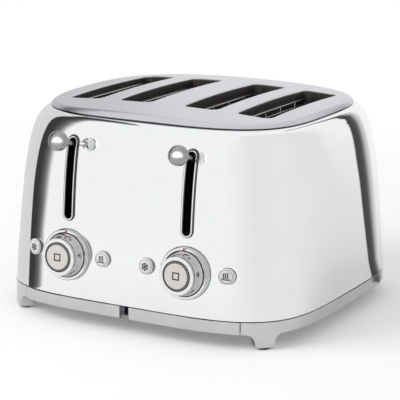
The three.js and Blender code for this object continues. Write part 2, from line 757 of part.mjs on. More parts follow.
function liftSpring() {
  const z0 = rackHeight - rackWall + carriageWall + clearance + springWire / 2;
  const z1 = frameTop - bracketWall - clearance - springWire / 2;
  class Helix extends THREE.Curve {
    getPoint(t, target = new THREE.Vector3()) {
      const turn = t * springTurns * Math.PI * 2;
      const radius = springRadius - springWire / 2;
      return target.set(Math.cos(turn) * radius, Math.sin(turn) * radius, z0 + (z1 - z0) * t);
    }
  }
  const [stepsPerTurn, wireSides] = [8, 4];
  const section = new THREE.Shape(Array.from({ length: wireSides }, (_, i) => (
    new THREE.Vector2(springWire / 2, 0).rotateAround(new THREE.Vector2(), i / wireSides * Math.PI * 2))));
  return new THREE.ExtrudeGeometry(section, {
    steps: springTurns * stepsPerTurn, extrudePath: new Helix(), bevelEnabled: false,
  }).translate(-rodOffset, rodY, 0);
}

/** Ball and stem as one turned piece, +Z along the stem and its origin where the stem leaves the skin. */
function leverBall() {
  const steps = 8;
  const half = ballRadius * ballFlatShare;
  const neck = Math.asin(stemRadius * ballNeckShare / ballRadius);
  const ball = Array.from({ length: steps + 1 }, (_, i) => {
    const turn = neck + (Math.PI - neck) * (i / steps);
    return [i === steps ? 0 : ballRadius * Math.sin(turn), ballReach - half * Math.cos(turn)];
  });
  const start = -armReach;
  const stem = [[0, start], [stemRadius, start], [stemRadius, ballReach - half * 2]];
  return turned([...stem, ...ball], buttonRounds);
}

// Dials and buttons, each with +Z out of the skin

function dialRing() {
  const inner = dialRadius - dialWall;
  const flange = dialRadius + dialFlange;
  const flangeTop = -dialDepth + dialWall / 2;
  const chamfer = dialWall / 3;
  return turnedRing([
    [inner, -dialDepth], [flange, -dialDepth], [flange, flangeTop], [dialRadius, flangeTop],
    [dialRadius, dialRise - chamfer], [dialRadius - chamfer, dialRise], [inner, dialRise],
  ]);
}

function browningKnob() {
  const recess = stopRadius + clearance * 2;
  const round = (knobRingRadius - recess) / 3;
  const tubeEnd = -boardDepth + switchSize + clearance;
  const ringStart = knobReach - knobRing;
  return turnedRing([
    [knobTubeBore, tubeEnd], [knobTubeRadius, tubeEnd], [knobTubeRadius, -dialWall / 2],
    [knobSkirtRadius, -dialWall / 2], [knobSkirtRadius, knobSkirtRise],
    [knobRingRadius + round / 2, ringStart], [knobRingRadius - round / 2, ringStart + round],
    [knobRingRadius, ringStart + round * 2], [knobRingRadius, knobReach - round],
    [knobRingRadius - round, knobReach], [recess + round, knobReach], [recess, knobReach - round],
    [recess, knobFloor], [knobTubeBore, knobFloor],
  ]);
}

function stopButton() {
  const under = stopReach - stopThick;
  const round = stopRound;
  return turned([
    [0, -boardDepth + switchRise + stopTravel], [stemPinRadius, -boardDepth + switchRise + stopTravel],
    [stemPinRadius, under], [stopRadius, under], [stopRadius, stopReach - round],
    [stopRadius - round, stopReach], [0, stopReach],
  ]);
}

/** A small button; its pin reaches the switch behind it, and its face falls back with the skin. */
function smallButton(pinEnd, fall) {
  const round = buttonRound / 3;
  const button = turned([
    [0, pinEnd], [stemPinRadius, pinEnd], [stemPinRadius, -buttonDepth], [buttonRadius, -buttonDepth],
    [buttonRadius, buttonReach - buttonRound], [buttonRadius - round, buttonReach - round],
    [buttonRadius - buttonRound, buttonReach], [0, buttonReach + round],
  ], buttonRounds);
  const { position } = button.attributes;
  for (let i = 0; i < position.count; i += 1) {
    const z = position.getZ(i);
    if (z > 0) position.setZ(i, z - fall * position.getX(i));
  }
  return button;
}

/** Offset of a small button's place from the knob's, in the knob's own frame. */
function buttonPlace(pairX, x) {
  const knobPlace = onFront(pairX, knobHeight);
  const point = new THREE.Vector3(x, frontY(x, knobHeight + buttonRise), knobHeight + buttonRise);
  return knobPlace.worldToLocal(point);
}

function controlBoard(buttonXs) {
  const front = -boardDepth;
  const back = front - circuitWall;
  const board = solid(block(-circuitWidth / 2, circuitWidth / 2, -circuitBelow, circuitAbove, back, front));
  const encoder = solid(turnedRing([
    [stemPinRadius + clearance * 3, front - circuitWall / 2], [encoderRadius, front - circuitWall / 2],
    [encoderRadius, front + switchSize], [stemPinRadius + clearance * 3, front + switchSize],
  ], plainRounds));
  const half = switchSize / 2;
  const switchAt = (x, y, rise) => solid(block(x - half, x + half, y - half, y + half,
    front - circuitWall / 2, front + rise));
  const stopSwitch = solid(disc(stemPinRadius, front - circuitWall / 2, front + switchRise - clearance));
  return joined(board, encoder, stopSwitch, ...buttonXs.map(({ x, y }) => switchAt(x, y, switchRise)));
}

/** Coil with two flanges on a plate that is fixed to the board's rear. */
function electromagnet() {
  const half = magnetHeight / 2;
  const spool = turned([
    [0, -half], [magnetRadius, -half], [magnetRadius, -half + magnetFlange],
    [magnetRadius - magnetFlange, -half + magnetFlange], [magnetRadius - magnetFlange, half - magnetFlange],
    [magnetRadius, half - magnetFlange], [magnetRadius, half], [magnetCore, half],
    [magnetCore, half + magnetFlange], [0, half + magnetFlange],
  ], plainRounds).rotateX(Math.PI / 2);
  const depth = boardDepth + circuitWall + clearance;
  const plate = solid(block(-magnetRadius, magnetRadius, -half, half, -depth - magnetFlange, -depth));
  const neck = solid(block(-magnetCore, magnetCore, -half, half, -depth - magnetRadius, -depth));
  return joined(solid(spool.translate(0, 0, -depth - magnetRadius - magnetFlange / 2)), plate, neck)
    .translate([0, -magnetDrop, 0]);
}

function cordInlet() {
  const { halfY } = casingAt(bandTop);
  return turnedRing([
    [inletBore, -bandWall - inletLip], [inletRadius, -bandWall - inletLip], [inletRadius, clearance],
    [inletRadius + inletLip, clearance],
    [inletRadius + inletLip - inletFlange / 2, inletFlange + clearance],
    [inletBore, inletFlange + clearance],
  ], plainRounds).rotateX(-Math.PI / 2).translate(0, halfY, footHeight + bandHeight / 2);
}

const footPad = () => disc(padRadius, 0, padStand + padPlug);

// Materials

const finish = (color, roughness, metalness) => ({ color, roughness, metalness });
const polished = finish(0xe6e8ea, 0.06, 1);
const brushed = finish(0xc9ccd0, 0.35, 1);
const satin = finish(0xcfd0d1, 0.4, 0.8);
const zinc = finish(0xa9abab, 0.5, 0.9);
const wire = finish(0xb6b6b4, 0.35, 1);
const mica = finish(0xb59a72, 0.75, 0);
const black = finish(0x161616, 0.6, 0);
const rubber = finish(0x2a2a2a, 0.9, 0);
const pale = finish(0xd6d3cf, 0.45, 0);
const circuit = finish(0x2f6b45, 0.6, 0);
const copper = finish(0xa65a33, 0.4, 0.8);

function piece(name, shape, { color, roughness, metalness }, place = [0, 0, 0]) {
  const geometry = shape.isBufferGeometry ? welded(shape) : geometryOf(shape);
  const mesh = new THREE.Mesh(geometry, new THREE.MeshStandardMaterial({ color, roughness, metalness }));
  mesh.name = name;
  mesh.position.set(...place);
  return mesh;
}

// Assembly

function housing() {
  const group = new THREE.Group();
  group.add(
    piece('body_skin', bodySkin(), polished),
    piece('top_plate', topPlate(), brushed),
    piece('base_band', baseBand(), satin),
    piece('bottom_plate', bottomPlate(), zinc),
    piece('front_frame', frontFrame(), zinc),
    piece('rear_frame', rearFrame(), zinc),
    piece('cord_inlet', cordInlet(), black),
  );
  corners().forEach((corner) => {
    const { x, y } = padPlace(corner);
    group.add(piece(`${corner.name}_foot_pad`, footPad(), rubber, [x, y, 0]));
  });
  return group;
}

/** Everything that belongs to one pair of slots, placed about the pair's middle. */
function slotPair({ name, sign }) {
  const group = new THREE.Group();
  const pairX = sign * pairSpacing / 2;
  group.position.x = pairX;
  const boardNames = sign > 0 ? ['near', 'middle', 'far'] : ['far', 'middle', 'near'];
  boardPlaces().forEach((x, i) => group.add(
    piece(`${name}_${boardNames[i]}_heater`, heaterBoard(), mica, [x, 0, 0])));
  places.forEach((place) => {
    const slotX = sign * place.sign * slotPitch / 2;
    group.add(piece(`${name}_${place.name}_rack`, breadRack(), wire, [slotX, 0, 0]));
    group.add(piece(`${name}_${place.name}_far_guard`, breadGuard(), wire,
      [slotX + (sign > 0 ? guardRest : -guardRest - guardWire), 0, 0]));
    group.add(piece(`${name}_${place.name}_near_guard`, breadGuard(), wire,
      [slotX + (sign > 0 ? -guardRest - guardWire : guardRest), 0, 0]));
  });
  group.add(
    piece(`${name}_lever_bezel`, slotSurround(pairX, bezelProfile()), polished),
    piece(`${name}_lever_channel`, slotSurround(pairX, channelProfile()), black),
    piece(`${name}_carriage`, carriage(), zinc),
    piece(`${name}_guide_rod`, guideRod(), wire),
    piece(`${name}_lift_spring`, liftSpring(), wire),
    piece(`${name}_crumb_tray`, tray(sign), zinc, [-pairX, 0, 0]),
    piece(`${name}_tray_front`, trayFront(sign), satin, [-pairX, 0, 0]),
  );
  const ballPlace = onFront(pairX, leverTop);
  ballPlace.position.x = 0;
  ballPlace.add(piece(`${name}_lever_ball`, leverBall(), polished));
  group.add(ballPlace);
  return group;
}

/** Dial, buttons, board and magnet of one pair, in the frame of the dial's axis. */
function controls({ name, sign }) {
  const pairX = sign * pairSpacing / 2;
  const group = onFront(pairX, knobHeight);
  const buttons = [
    { name: 'defrost', x: pairX - buttonOffset }, { name: 'reheat', x: pairX + buttonOffset },
  ].map((button) => ({ ...button, place: buttonPlace(pairX, button.x) }));
  group.add(
    piece(`${name}_dial_ring`, dialRing(), polished),
    piece(`${name}_browning_knob`, browningKnob(), polished),
    piece(`${name}_stop_button`, stopButton(), pale),
    piece(`${name}_control_board`, controlBoard(buttons.map(({ place }) => place)), circuit),
    piece(`${name}_electromagnet`, electromagnet(), copper),
  );
  buttons.forEach(({ name: use, x, place }) => {
    const pinEnd = -boardDepth + switchRise + buttonTravel + clearance - place.z;
    const fall = frontFall(x, knobHeight + buttonRise);
    group.add(piece(`${name}_${use}_button`, smallButton(pinEnd, fall), pale, place.toArray()));
  });
  return group;
}

const toaster = new THREE.Group();
toaster.add(housing(), ...sides.map(slotPair), ...sides.map(controls));

// The levers reach forward, so the whole moves back until its middle is over the origin.
toaster.position.y = -new THREE.Box3().setFromObject(toaster, true).getCenter(new THREE.Vector3()).y;

export default toaster;
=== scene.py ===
"""Four-slice toaster with a mirror-polished casing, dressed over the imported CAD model.

Metres, +Z up, controls towards -Y. The casing's middle lies a little behind the frame's origin, because
the origin is under the middle of the whole, levers included. Sizes are written in millimetres and turned
to metres by mm(); profiles for turned(), and the controls that are turned from them, stay in millimetres.
"""

import json
import logging
import math
from contextlib import contextmanager
from dataclasses import dataclass
from enum import Enum
from typing import Callable, Iterable, Iterator, Sequence

import bpy
from mathutils import Matrix, Vector

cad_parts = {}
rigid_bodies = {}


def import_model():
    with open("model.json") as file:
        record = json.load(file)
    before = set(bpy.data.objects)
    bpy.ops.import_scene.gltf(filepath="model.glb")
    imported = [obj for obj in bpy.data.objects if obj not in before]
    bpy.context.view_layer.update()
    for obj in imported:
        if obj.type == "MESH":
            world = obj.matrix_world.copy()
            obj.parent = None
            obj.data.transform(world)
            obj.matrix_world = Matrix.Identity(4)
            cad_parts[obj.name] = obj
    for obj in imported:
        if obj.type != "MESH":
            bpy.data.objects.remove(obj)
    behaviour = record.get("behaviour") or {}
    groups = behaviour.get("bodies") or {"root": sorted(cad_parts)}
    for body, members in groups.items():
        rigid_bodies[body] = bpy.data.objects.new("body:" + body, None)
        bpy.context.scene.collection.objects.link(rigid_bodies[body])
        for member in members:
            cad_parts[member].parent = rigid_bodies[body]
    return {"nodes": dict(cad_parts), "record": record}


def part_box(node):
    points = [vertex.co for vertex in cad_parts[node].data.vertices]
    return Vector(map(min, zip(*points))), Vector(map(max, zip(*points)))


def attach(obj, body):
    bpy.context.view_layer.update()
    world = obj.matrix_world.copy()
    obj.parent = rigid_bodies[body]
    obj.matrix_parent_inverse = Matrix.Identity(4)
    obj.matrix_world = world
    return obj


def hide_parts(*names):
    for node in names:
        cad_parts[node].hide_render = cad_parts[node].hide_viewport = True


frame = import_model()
LOG = logging.getLogger("toaster")
Piece = bpy.types.Object
Tree = bpy.types.NodeTree
Socket = bpy.types.NodeSocket
Point = tuple[float, float]
Triple = tuple[float, float, float]
Shape = Callable[[int, int], Vector]
SIDES = (("left", -1), ("right", 1))
# The angle past which an edge is sharp, and the distance in metres within which two vertices are one.
SHARP_DEGREES = 35.0
MERGE_DISTANCE = 1e-6


def mm(value: float) -> float:
    """Millimetres in metres."""
    return value / 1000.0


# Modelling steps


def clear_selection() -> None:
    """Leaves edit mode and selects nothing."""
    if bpy.context.object and bpy.context.object.mode != "OBJECT":
        bpy.ops.object.mode_set(mode="OBJECT")
    bpy.ops.object.select_all(action="DESELECT")


def choose(piece: Piece) -> None:
    """Selects one piece and makes it active.

    Args:
        piece: the piece.
    """
    clear_selection()
    piece.select_set(True)
    bpy.context.view_layer.objects.active = piece


def named(name: str) -> Piece:
    """Names the object that an operator has just added, and its mesh.

    Args:
        name: their name.

    Returns:
        The object.
    """
    piece = bpy.context.active_object
    piece.name = piece.data.name = name
    return piece


@contextmanager
def editing(piece: Piece) -> Iterator[None]:
    """Edit mode with the whole piece selected, left again at the end.

    Args:
        piece: a mesh object.

    Yields:
        Nothing; what the caller does there is done in edit mode.
    """
    choose(piece)
    bpy.ops.object.mode_set(mode="EDIT")
    bpy.ops.mesh.select_all(action="SELECT")
    yield
    bpy.ops.object.mode_set(mode="OBJECT")


def fill_ends() -> None:
    """Fills every open end of the piece in edit mode."""
    bpy.ops.mesh.select_all(action="SELECT")
    bpy.ops.mesh.fill_holes(sides=0)


def tidied(piece: Piece) -> Piece:
    """Merges doubles and turns all faces outwards.

    Args:
        piece: a mesh object.

    Returns:
        The same object.
    """
    with editing(piece):
        bpy.ops.mesh.remove_doubles(threshold=MERGE_DISTANCE)
        bpy.ops.mesh.normals_make_consistent(inside=False)
    return piece


def modified(piece: Piece, kind: str, **settings: object) -> Piece:
    """Adds a modifier and applies it.

    Args:
        piece: a mesh object.
        kind: the modifier's type.
        **settings: the modifier's properties.

    Returns:
        The same object.
    """
    choose(piece)
    modifier = piece.modifiers.new(kind.title(), kind)
    for key, value in settings.items():
        setattr(modifier, key, value)
    bpy.ops.object.modifier_apply(modifier=modifier.name)
    return piece


def smoothed(piece: Piece, degrees: float = SHARP_DEGREES) -> Piece:
    """Shades smooth, with edges sharper than an angle kept crisp.

    Args:
        piece: a mesh object.
        degrees: the angle.

    Returns:
        The same object.
    """
    choose(piece)
    bpy.ops.object.shade_smooth_by_angle(angle=math.radians(degrees))
    return piece


def eased(piece: Piece, width: float, segments: int = 3) -> Piece:
    """Rounds every sharp edge and shades the piece smooth.

    Args:
        piece: a mesh object.
        width: width of the rounding.
        segments: faces across it.

    Returns:
        The same object.
    """
    modified(piece, "BEVEL", width=width, segments=segments, limit_method="ANGLE",
             angle_limit=math.radians(SHARP_DEGREES))
    smoothed(piece, 50.0)
    return modified(piece, "WEIGHTED_NORMAL", keep_sharp=True, weight=80)


def lofted(name: str, sides: int, rows: int, shape: Shape, closed: bool = False,
           capped: bool = False) -> Piece:
    """Extrudes a circle row by row, then moves each vertex to its place on a form.

    Args:
        name: the piece's name.
        sides: vertices in a row.
        rows: number of rows.
        shape: gives the place of vertex `side` in row `row`.
        closed: whether the last row joins the first again.
        capped: whether the two open ends are filled.

    Returns:
        The new object.
    """
    clear_selection()
    radius, step = mm(100), mm(1)
    bpy.ops.mesh.primitive_circle_add(vertices=sides, radius=radius, location=(0, 0, 0))
    piece = named(name)
    with editing(piece):
        for _ in range(rows if closed else rows - 1):
            bpy.ops.mesh.extrude_region_move(TRANSFORM_OT_translate={"value": (0, 0, step)})
        if capped:
            fill_ends()
    for vertex in piece.data.vertices:
        x, y, z = vertex.co
        side = round(math.atan2(x, y) / math.tau * sides) % sides
        vertex.co = shape(side, round(z / step) % rows)
    return tidied(piece)


def turned(name: str, profile: Sequence[Point], sides: int = 96, ring: bool = False) -> Piece:
    """Turns a profile about +Z by extruding and resizing a circle.

    Args:
        name: the piece's name.
        profile: radius and height of each step, in millimetres.
        sides: vertices round the piece.
        ring: whether the profile closes on itself; else its ends are capped.

    Returns:
        The new object.
    """
    clear_selection()
    steps = [(mm(r), mm(z)) for r, z in profile]
    (radius, height), rest = steps[0], steps[1:] + (steps[:1] if ring else [])
    bpy.ops.mesh.primitive_circle_add(vertices=sides, radius=radius, location=(0, 0, height))
    piece = named(name)
    with editing(piece):
        for wide, high in rest:
            bpy.ops.mesh.extrude_region_move(TRANSFORM_OT_translate={"value": (0, 0, high - height)})
            scale = wide / radius
            bpy.ops.transform.resize(value=(scale, scale, 1), center_override=(0, 0, 0))
            radius, height = wide, high
        if not ring:
            fill_ends()
    bpy.ops.object.transform_apply()
    return tidied(piece)


def prism(name: str, outline: Sequence[Point], low: float, high: float) -> Piece:
    """A closed block of a flat outline, in metres, between two heights.

    Args:
        name: the block's name.
        outline: its corners.
        low: its lower height.
        high: its upper height.

    Returns:
        The new object.
    """
    heights = (low, high)
    return lofted(name, len(outline), 2, lambda side, row: Vector((*outline[side], heights[row])),
                  capped=True)


def rounded(centres: Sequence[Point], radius: float, arc: int, straight: int) -> list[Point]:
    """An outline of equal arcs, anticlockwise from +X, joined by straight sides.

    Args:
        centres: the arcs' middles.
        radius: the arcs' radius.
        arc: steps in an arc.
        straight: steps in a straight side.

    Returns:
        The outline's points.
    """
    def at(corner: int, share: float) -> Point:
        """A point part of the way along an arc."""
        (x, y), turn = centres[corner % len(centres)], (corner + share) * math.tau / len(centres)
        return x + radius * math.cos(turn), y + radius * math.sin(turn)

    points: list[Point] = []
    for corner in range(len(centres)):
        points += [at(corner, i / arc) for i in range(arc + 1)]
        (x0, y0), (x1, y1) = at(corner, 1), at(corner + 1, 0)
        points += [(x0 + (x1 - x0) * i / straight, y0 + (y1 - y0) * i / straight) for i in range(1, straight)]
    return points


def placed(piece: Piece, place: Matrix) -> Piece:
    """Moves a piece and applies its place to its mesh.

    Args:
        piece: the piece.
        place: how it is turned and moved.

    Returns:
        The same object.
    """
    choose(piece)
    piece.matrix_world = place @ piece.matrix_world
    bpy.ops.object.transform_apply()
    return piece


def joined(name: str, parts: Sequence[Piece]) -> Piece:
    """Joins parts into one object.

    Args:
        name: the joined object's name.
        parts: the objects to join.

    Returns:
        The joined object.
    """
    choose(parts[0])
    for part in parts:
        part.select_set(True)
    bpy.ops.object.join()
    return named(name)


def cut(piece: Piece, cutters: Iterable[Piece]) -> None:
    """Cuts holes in a piece and removes the cutters.

    Args:
        piece: a closed mesh object.
        cutters: closed mesh objects that are apart from each other.
    """
    for cutter in cutters:
        modified(piece, "BOOLEAN", operation="DIFFERENCE", solver="EXACT", object=cutter)
        bpy.data.objects.remove(cutter, do_unlink=True)


def polished_normals(piece: Piece, normal_at: Callable[[Vector], Vector | None]) -> None:
    """Shades a cut sheet by the form it was pressed to, so that its holes leave no dents in a reflection.

    A face that turns away from the form, such as the edge of a hole, keeps its own normal.

    Args:
        piece: the sheet.
        normal_at: the form's normal at a point, or None where the mesh's own is kept.
    """
    mesh, agreement = piece.data, 0.8
    for face in mesh.polygons:
        face.use_smooth = True
    known = [normal_at(vertex.co) or vertex.normal.copy() for vertex in mesh.vertices]
    normals = [Vector()] * len(mesh.loops)
    for face in mesh.polygons:
        for index in face.loop_indices:
            normal = known[mesh.loops[index].vertex_index]
            agree = normal.dot(face.normal)
            normals[index] = normal if agree > agreement else -normal if agree < -agreement else face.normal
    mesh.normals_split_custom_set(normals)


# The casing's form


@dataclass(frozen=True)
class CasingForm:
    """The pressed casing: rounded rectangles that draw in slowly up the wall and quickly in the shoulder."""

    base_half: Point = (mm(160), mm(148.5))
    seam_half: Point = (mm(135), mm(118))
    band_top: float = mm(26)
    seam: float = mm(194.8)
    top: float = mm(206)
    powers: Point = (2 / (1 - 0.516), 2 / (1 - 0.42))
    shoulder_power: float = 5.0
    shoulder_reach: float = 0.992
    lean: float = 0.31
    middle: float = mm(8.507)
    crown_drop: Point = (mm(5.4), mm(4.4))

    def shoulder(self, share: float) -> float:
        """How far the shoulder has turned over at a share of the height."""
        return 1 - (1 - (share * self.shoulder_reach) ** self.shoulder_power) ** (1 / self.shoulder_power)

    def at(self, z: float) -> Triple:
        """The wall's outline at a height.

        Args:
            z: the height.

        Returns:
            Half width, half depth and corner power.
        """
        share = min(max((z - self.band_top) / (self.seam - self.band_top), 0.0), 1.0)
        inward = self.lean * share + (1 - self.lean) * self.shoulder(share) / self.shoulder(1.0)
        half_x, half_y = (a + (b - a) * inward for a, b in zip(self.base_half, self.seam_half))
        return half_x, half_y, self.powers[0] + (self.powers[1] - self.powers[0]) * share

    def outline(self, turn: float, size: Triple, inset: float = 0.0) -> Point:
        """A point of an outline.

        Args:
            turn: angle round the outline.
            size: half width, half depth and corner power.
            inset: how far it lies inside.

        Returns:
            x, and y from the casing's middle.
        """
        half_x, half_y, power = size
        reach = [math.copysign(abs(v) ** (2 / power), v) for v in (math.cos(turn), math.sin(turn))]
        return (half_x - inset) * reach[0], (half_y - inset) * reach[1]

    def point(self, turn: float, z: float, inset: float = 0.0) -> Vector:
        """A point of the wall."""
        x, y = self.outline(turn, self.at(z), inset)
        return Vector((x, y + self.middle, z))

    def front_y(self, x: float, z: float) -> float:
        """How far the front lies before the frame's origin."""
        half_x, half_y, power = self.at(z)
        return self.middle - half_y * (1 - abs(x / half_x) ** power) ** (1 / power)

    def lean_at(self, x: float, z: float) -> float:
        """Angle by which the front leans back."""
        return math.atan((self.front_y(x, z + mm(0.5)) - self.front_y(x, z - mm(0.5))) / mm(1))

    def front_place(self, x: float, z: float, lean: float | None = None) -> Matrix:
        """Frame on the front with +Z straight out of the skin, or with a lean of its own."""
        tilt = math.pi / 2 - (self.lean_at(x, z) if lean is None else lean)
        return Matrix.Translation((x, self.front_y(x, z), z)) @ Matrix.Rotation(tilt, 4, "X")

    def crown(self, x: float, y: float) -> float:
        """Height of the top plate, y from the casing's middle."""
        return (self.top - self.crown_drop[0] * (x / self.seam_half[0]) ** 2
                - self.crown_drop[1] * (y / self.seam_half[1]) ** 2)

    def wall_normal(self, point: Vector) -> Vector:
        """The wall's outward direction at a point on or just under it.

        Args:
            point: the point.

        Returns:
            The direction, one long.
        """
        def depth(x: float, y: float, z: float) -> float:
            """How far out a point lies, 1 on the wall."""
            half_x, half_y, power = self.at(z)
            return (abs(x / half_x) ** power + abs(y / half_y) ** power) ** (1 / power)

        x, y, step = point.x, point.y - self.middle, mm(0.1)
        z = min(max(point.z, self.band_top + 3 * step), self.seam - 2 * step)
        slope = [depth(x + (axis == 0) * s, y + (axis == 1) * s, z + (axis == 2) * s)
                 for axis in range(3) for s in (step, -step)]
        return Vector((slope[0] - slope[1], slope[2] - slope[3], slope[4] - slope[5])).normalized()

    def crown_normal(self, x: float, y: float) -> Vector:
        """The top plate's upward direction, y from the casing's middle."""
        return Vector((2 * self.crown_drop[0] * x / self.seam_half[0] ** 2,
                       2 * self.crown_drop[1] * y / self.seam_half[1] ** 2, 1)).normalized()


FORM = CasingForm()
# The polish bridges the shoulder's start, so reflections follow a form with a tighter shoulder.
MIRROR = CasingForm(shoulder_power=10.0, lean=0.45)


# Finishes


def linear(code: str) -> tuple[float, float, float, float]:
    """An sRGB hex colour, such as #808080, as linear red, green and blue with full alpha."""
    parts = [int(code[i:i + 2], 16) / 255 for i in (1, 3, 5)]
    return (*[p / 12.92 if p <= 0.04045 else ((p + 0.055) / 1.055) ** 2.4 for p in parts], 1.0)


WHITE = linear("#FFFFFF")


def fresh_tree(owner: bpy.types.Material | bpy.types.World) -> Tree:
    """The emptied node tree of a new material or world.

    Args:
        owner: the material or world.

    Returns:
        Its tree, with no nodes in it.
    """
    owner.use_nodes = True
    owner.node_tree.nodes.clear()
    return owner.node_tree


def add_node(tree: Tree, kind: str, settings: dict[str, object] | None = None,
             links: dict[str, Socket] | None = None) -> bpy.types.Node:
    """Adds a node with its settings and links.

    Args:
        tree: the node tree.
        kind: the node's type, without the words ShaderNode.
        settings: socket values and properties by name.
        links: the outputs that its sockets take.

    Returns:
        The node.
    """
    node = tree.nodes.new("ShaderNode" + kind)
    for key, value in (settings or {}).items():
        if key.isdigit() or key in node.inputs:
            node.inputs[int(key) if key.isdigit() else key].default_value = value
        else:
            setattr(node, key, value)
    for key, source in (links or {}).items():
        tree.links.new(source, node.inputs[int(key)] if key.isdigit() else node.inputs[key])
    return node


def combined(tree: Tree, kind: str, operation: str, *values: object) -> Socket:
    """Adds a Math or VectorMath node.

    Args:
        tree: the node tree.
        kind: Math or VectorMath.
        operation: what it does.
        *values: what it takes, sockets or numbers.

    Returns:
        Its result, or its length.
    """
    fixed = {str(i): v for i, v in enumerate(values) if not isinstance(v, Socket)}
    links = {str(i): v for i, v in enumerate(values) if isinstance(v, Socket)}
    return add_node(tree, kind, {"operation": operation} | fixed, links).outputs[int(operation == "LENGTH")]


def ramp(tree: Tree, factor: Socket, stops: Sequence[tuple[float, str]]) -> Socket:
    """A colour ramp over a factor.

    Args:
        tree: the node tree.
        factor: what it reads.
        stops: positions and hex colours.

    Returns:
        The colour output.
    """
    node = add_node(tree, "ValToRGB", links={"Fac": factor})
    elements = node.color_ramp.elements
    while len(elements) < len(stops):
        elements.new(0.5)
    for element, (position, code) in zip(elements, stops):
        element.position, element.color = position, linear(code)
    return node.outputs["Color"]


def mixed(tree: Tree, share: Socket, first: bpy.types.Node, second: bpy.types.Node, output: str) -> None:
    """Sends two shaders to the output, the second by a share."""
    mix = add_node(tree, "MixShader", links={"0": share, "1": first.outputs[0], "2": second.outputs[0]})
    add_node(tree, output, links={"Surface": mix.outputs[0]})


class Grain(Enum):
    """How a surface was worked; the value is its noise's detail."""

    POLISHED = 3.0
    BRUSHED = 2.0
    MOULDED = 4.0
    SPANGLED = 0.0
    FLAKED = 6.0


@dataclass(frozen=True)
class Finish:
    """A surface: its colour, gloss and the pattern that its making left."""

    name: str
    colour: str
    tint: str
    metal: float
    roughness: float
    spread: float
    grain: Grain
    pitch: float
    stretch: Triple = (1, 1, 1)
    relief: float = 0.0
    waviness: float = 0.0
    swell: float = mm(45)

    def pattern(self, tree: Tree, coords: Socket) -> Socket:
        """The factor from 0 to 1 that runs over the surface.

        Args:
            tree: the node tree.
            coords: Object coordinates.

        Returns:
            The factor.
        """
        mapping = add_node(tree, "Mapping", {"Scale": self.stretch}, {"Vector": coords})
        links = {"Vector": mapping.outputs[0]}
        if self.grain is Grain.SPANGLED:
            cells = add_node(tree, "TexVoronoi", {"Scale": 1 / self.pitch}, links)
            return add_node(tree, "SeparateColor", links={"Color": cells.outputs["Color"]}).outputs[0]
        settings = {"Scale": 1 / self.pitch, "Detail": self.grain.value, "Roughness": 0.6}
        return add_node(tree, "TexNoise", settings, links).outputs["Fac"]

    def material(self) -> bpy.types.Material:
        """The finish as a material, made once.

        Returns:
            The material.
        """
        if self.name in bpy.data.materials:
            return bpy.data.materials[self.name]
        material = bpy.data.materials.new(self.name)
        tree = fresh_tree(material)
        coords = add_node(tree, "TexCoord").outputs["Object"]
        factor = self.pattern(tree, coords)
        low, high = 0.3, 0.7
        colour = ramp(tree, factor, [(low, self.colour), (high, self.tint)])
        gloss = add_node(tree, "MapRange", {
            "From Min": low, "From Max": high, "To Min": self.roughness - self.spread,
            "To Max": self.roughness + self.spread}, {"Value": factor})
        links = {"Base Color": colour, "Roughness": gloss.outputs[0]}
        if self.waviness:
            swell = add_node(tree, "TexNoise", {"Scale": 1 / self.swell, "Detail": 1.0}, {"Vector": coords})
            links["Normal"] = add_node(tree, "Bump", {"Strength": 1.0, "Distance": self.waviness},
                                       {"Height": swell.outputs["Fac"]}).outputs[0]
        if self.relief:
            under = {"Normal": links["Normal"]} if "Normal" in links else {}
            links["Normal"] = add_node(tree, "Bump", {"Strength": 1.0, "Distance": self.relief},
                                       {"Height": factor} | under).outputs[0]
        shader = add_node(tree, "BsdfPrincipled", {"Metallic": self.metal}, links)
        add_node(tree, "OutputMaterial", links={"Surface": shader.outputs[0]})
        return material


# Stainless steel sheet, pressed and mirror polished: clear reflections with a faint swell left by the press.
POLISHED_STEEL = Finish("mirror_polished_stainless", "#F4F6F8", "#F6F8FA", 1, 0.045, 0.012, Grain.POLISHED,
                        mm(30), waviness=mm(0.012))
# Stainless steel sheet, brushed across: satin, its lines at 0.7 mm because the real 0.1 mm wouldn't show.
BRUSHED_STEEL = Finish("brushed_stainless", "#D0D2D7", "#D6D8DC", 1, 0.32, 0.04, Grain.BRUSHED, mm(0.7),
                       stretch=(0.04, 1, 1), relief=mm(0.002))
# The same sheet in the slots' collar walls: straw and grey heat tint over the brushing, darkened further as
# painted shade inside the slots.
HEAT_TINT_AND_SHADE_STEEL = Finish("heat_tint_and_painted_shade_stainless", "#625D5A", "#736E6A", 1, 0.42, 0.06, Grain.BRUSHED, mm(0.7),
                      stretch=(1, 1, 0.04), relief=mm(0.003))
# Die-cast zinc, chrome plated and polished less than the skin: soft-edged reflections.
PLATED_ZINC = Finish("satin_chrome_zinc", "#CFD0D2", "#D6D7D9", 1, 0.18, 0.03, Grain.POLISHED, mm(14))
# Chrome on moulded knobs and trim: bright, with a slight haze; on the lever balls' back halves it is a
# painted reflection.
CHROME = Finish("bright_chrome_plating", "#EDEDED", "#F1F1F1", 1, 0.10, 0.02, Grain.POLISHED, mm(9))
# Satin chrome on the dials' sides and rings: a soft grey sheen.
SATIN_CHROME = Finish("satin_chrome_plating", "#C3C3C1", "#CDCDCB", 1, 0.16, 0.04, Grain.POLISHED, mm(5))
# Chrome darkened as painted shade: the seam under the top plate, the bezels' sides and the knob's waist.
PAINTED_SHADE_CHROME = Finish("painted_shade_chrome", "#505050", "#606060", 1, 0.30, 0.05, Grain.POLISHED, mm(5))
# Chrome on the lever balls' fronts, darkened as painted shade for dark surroundings; the broad highlight
# comes from the softbox lamp.
PAINTED_SHADE_BALL_CHROME = Finish("painted_shade_ball_chrome", "#A0A09F", "#A8A8A7", 1, 0.26, 0.02, Grain.POLISHED, mm(5))
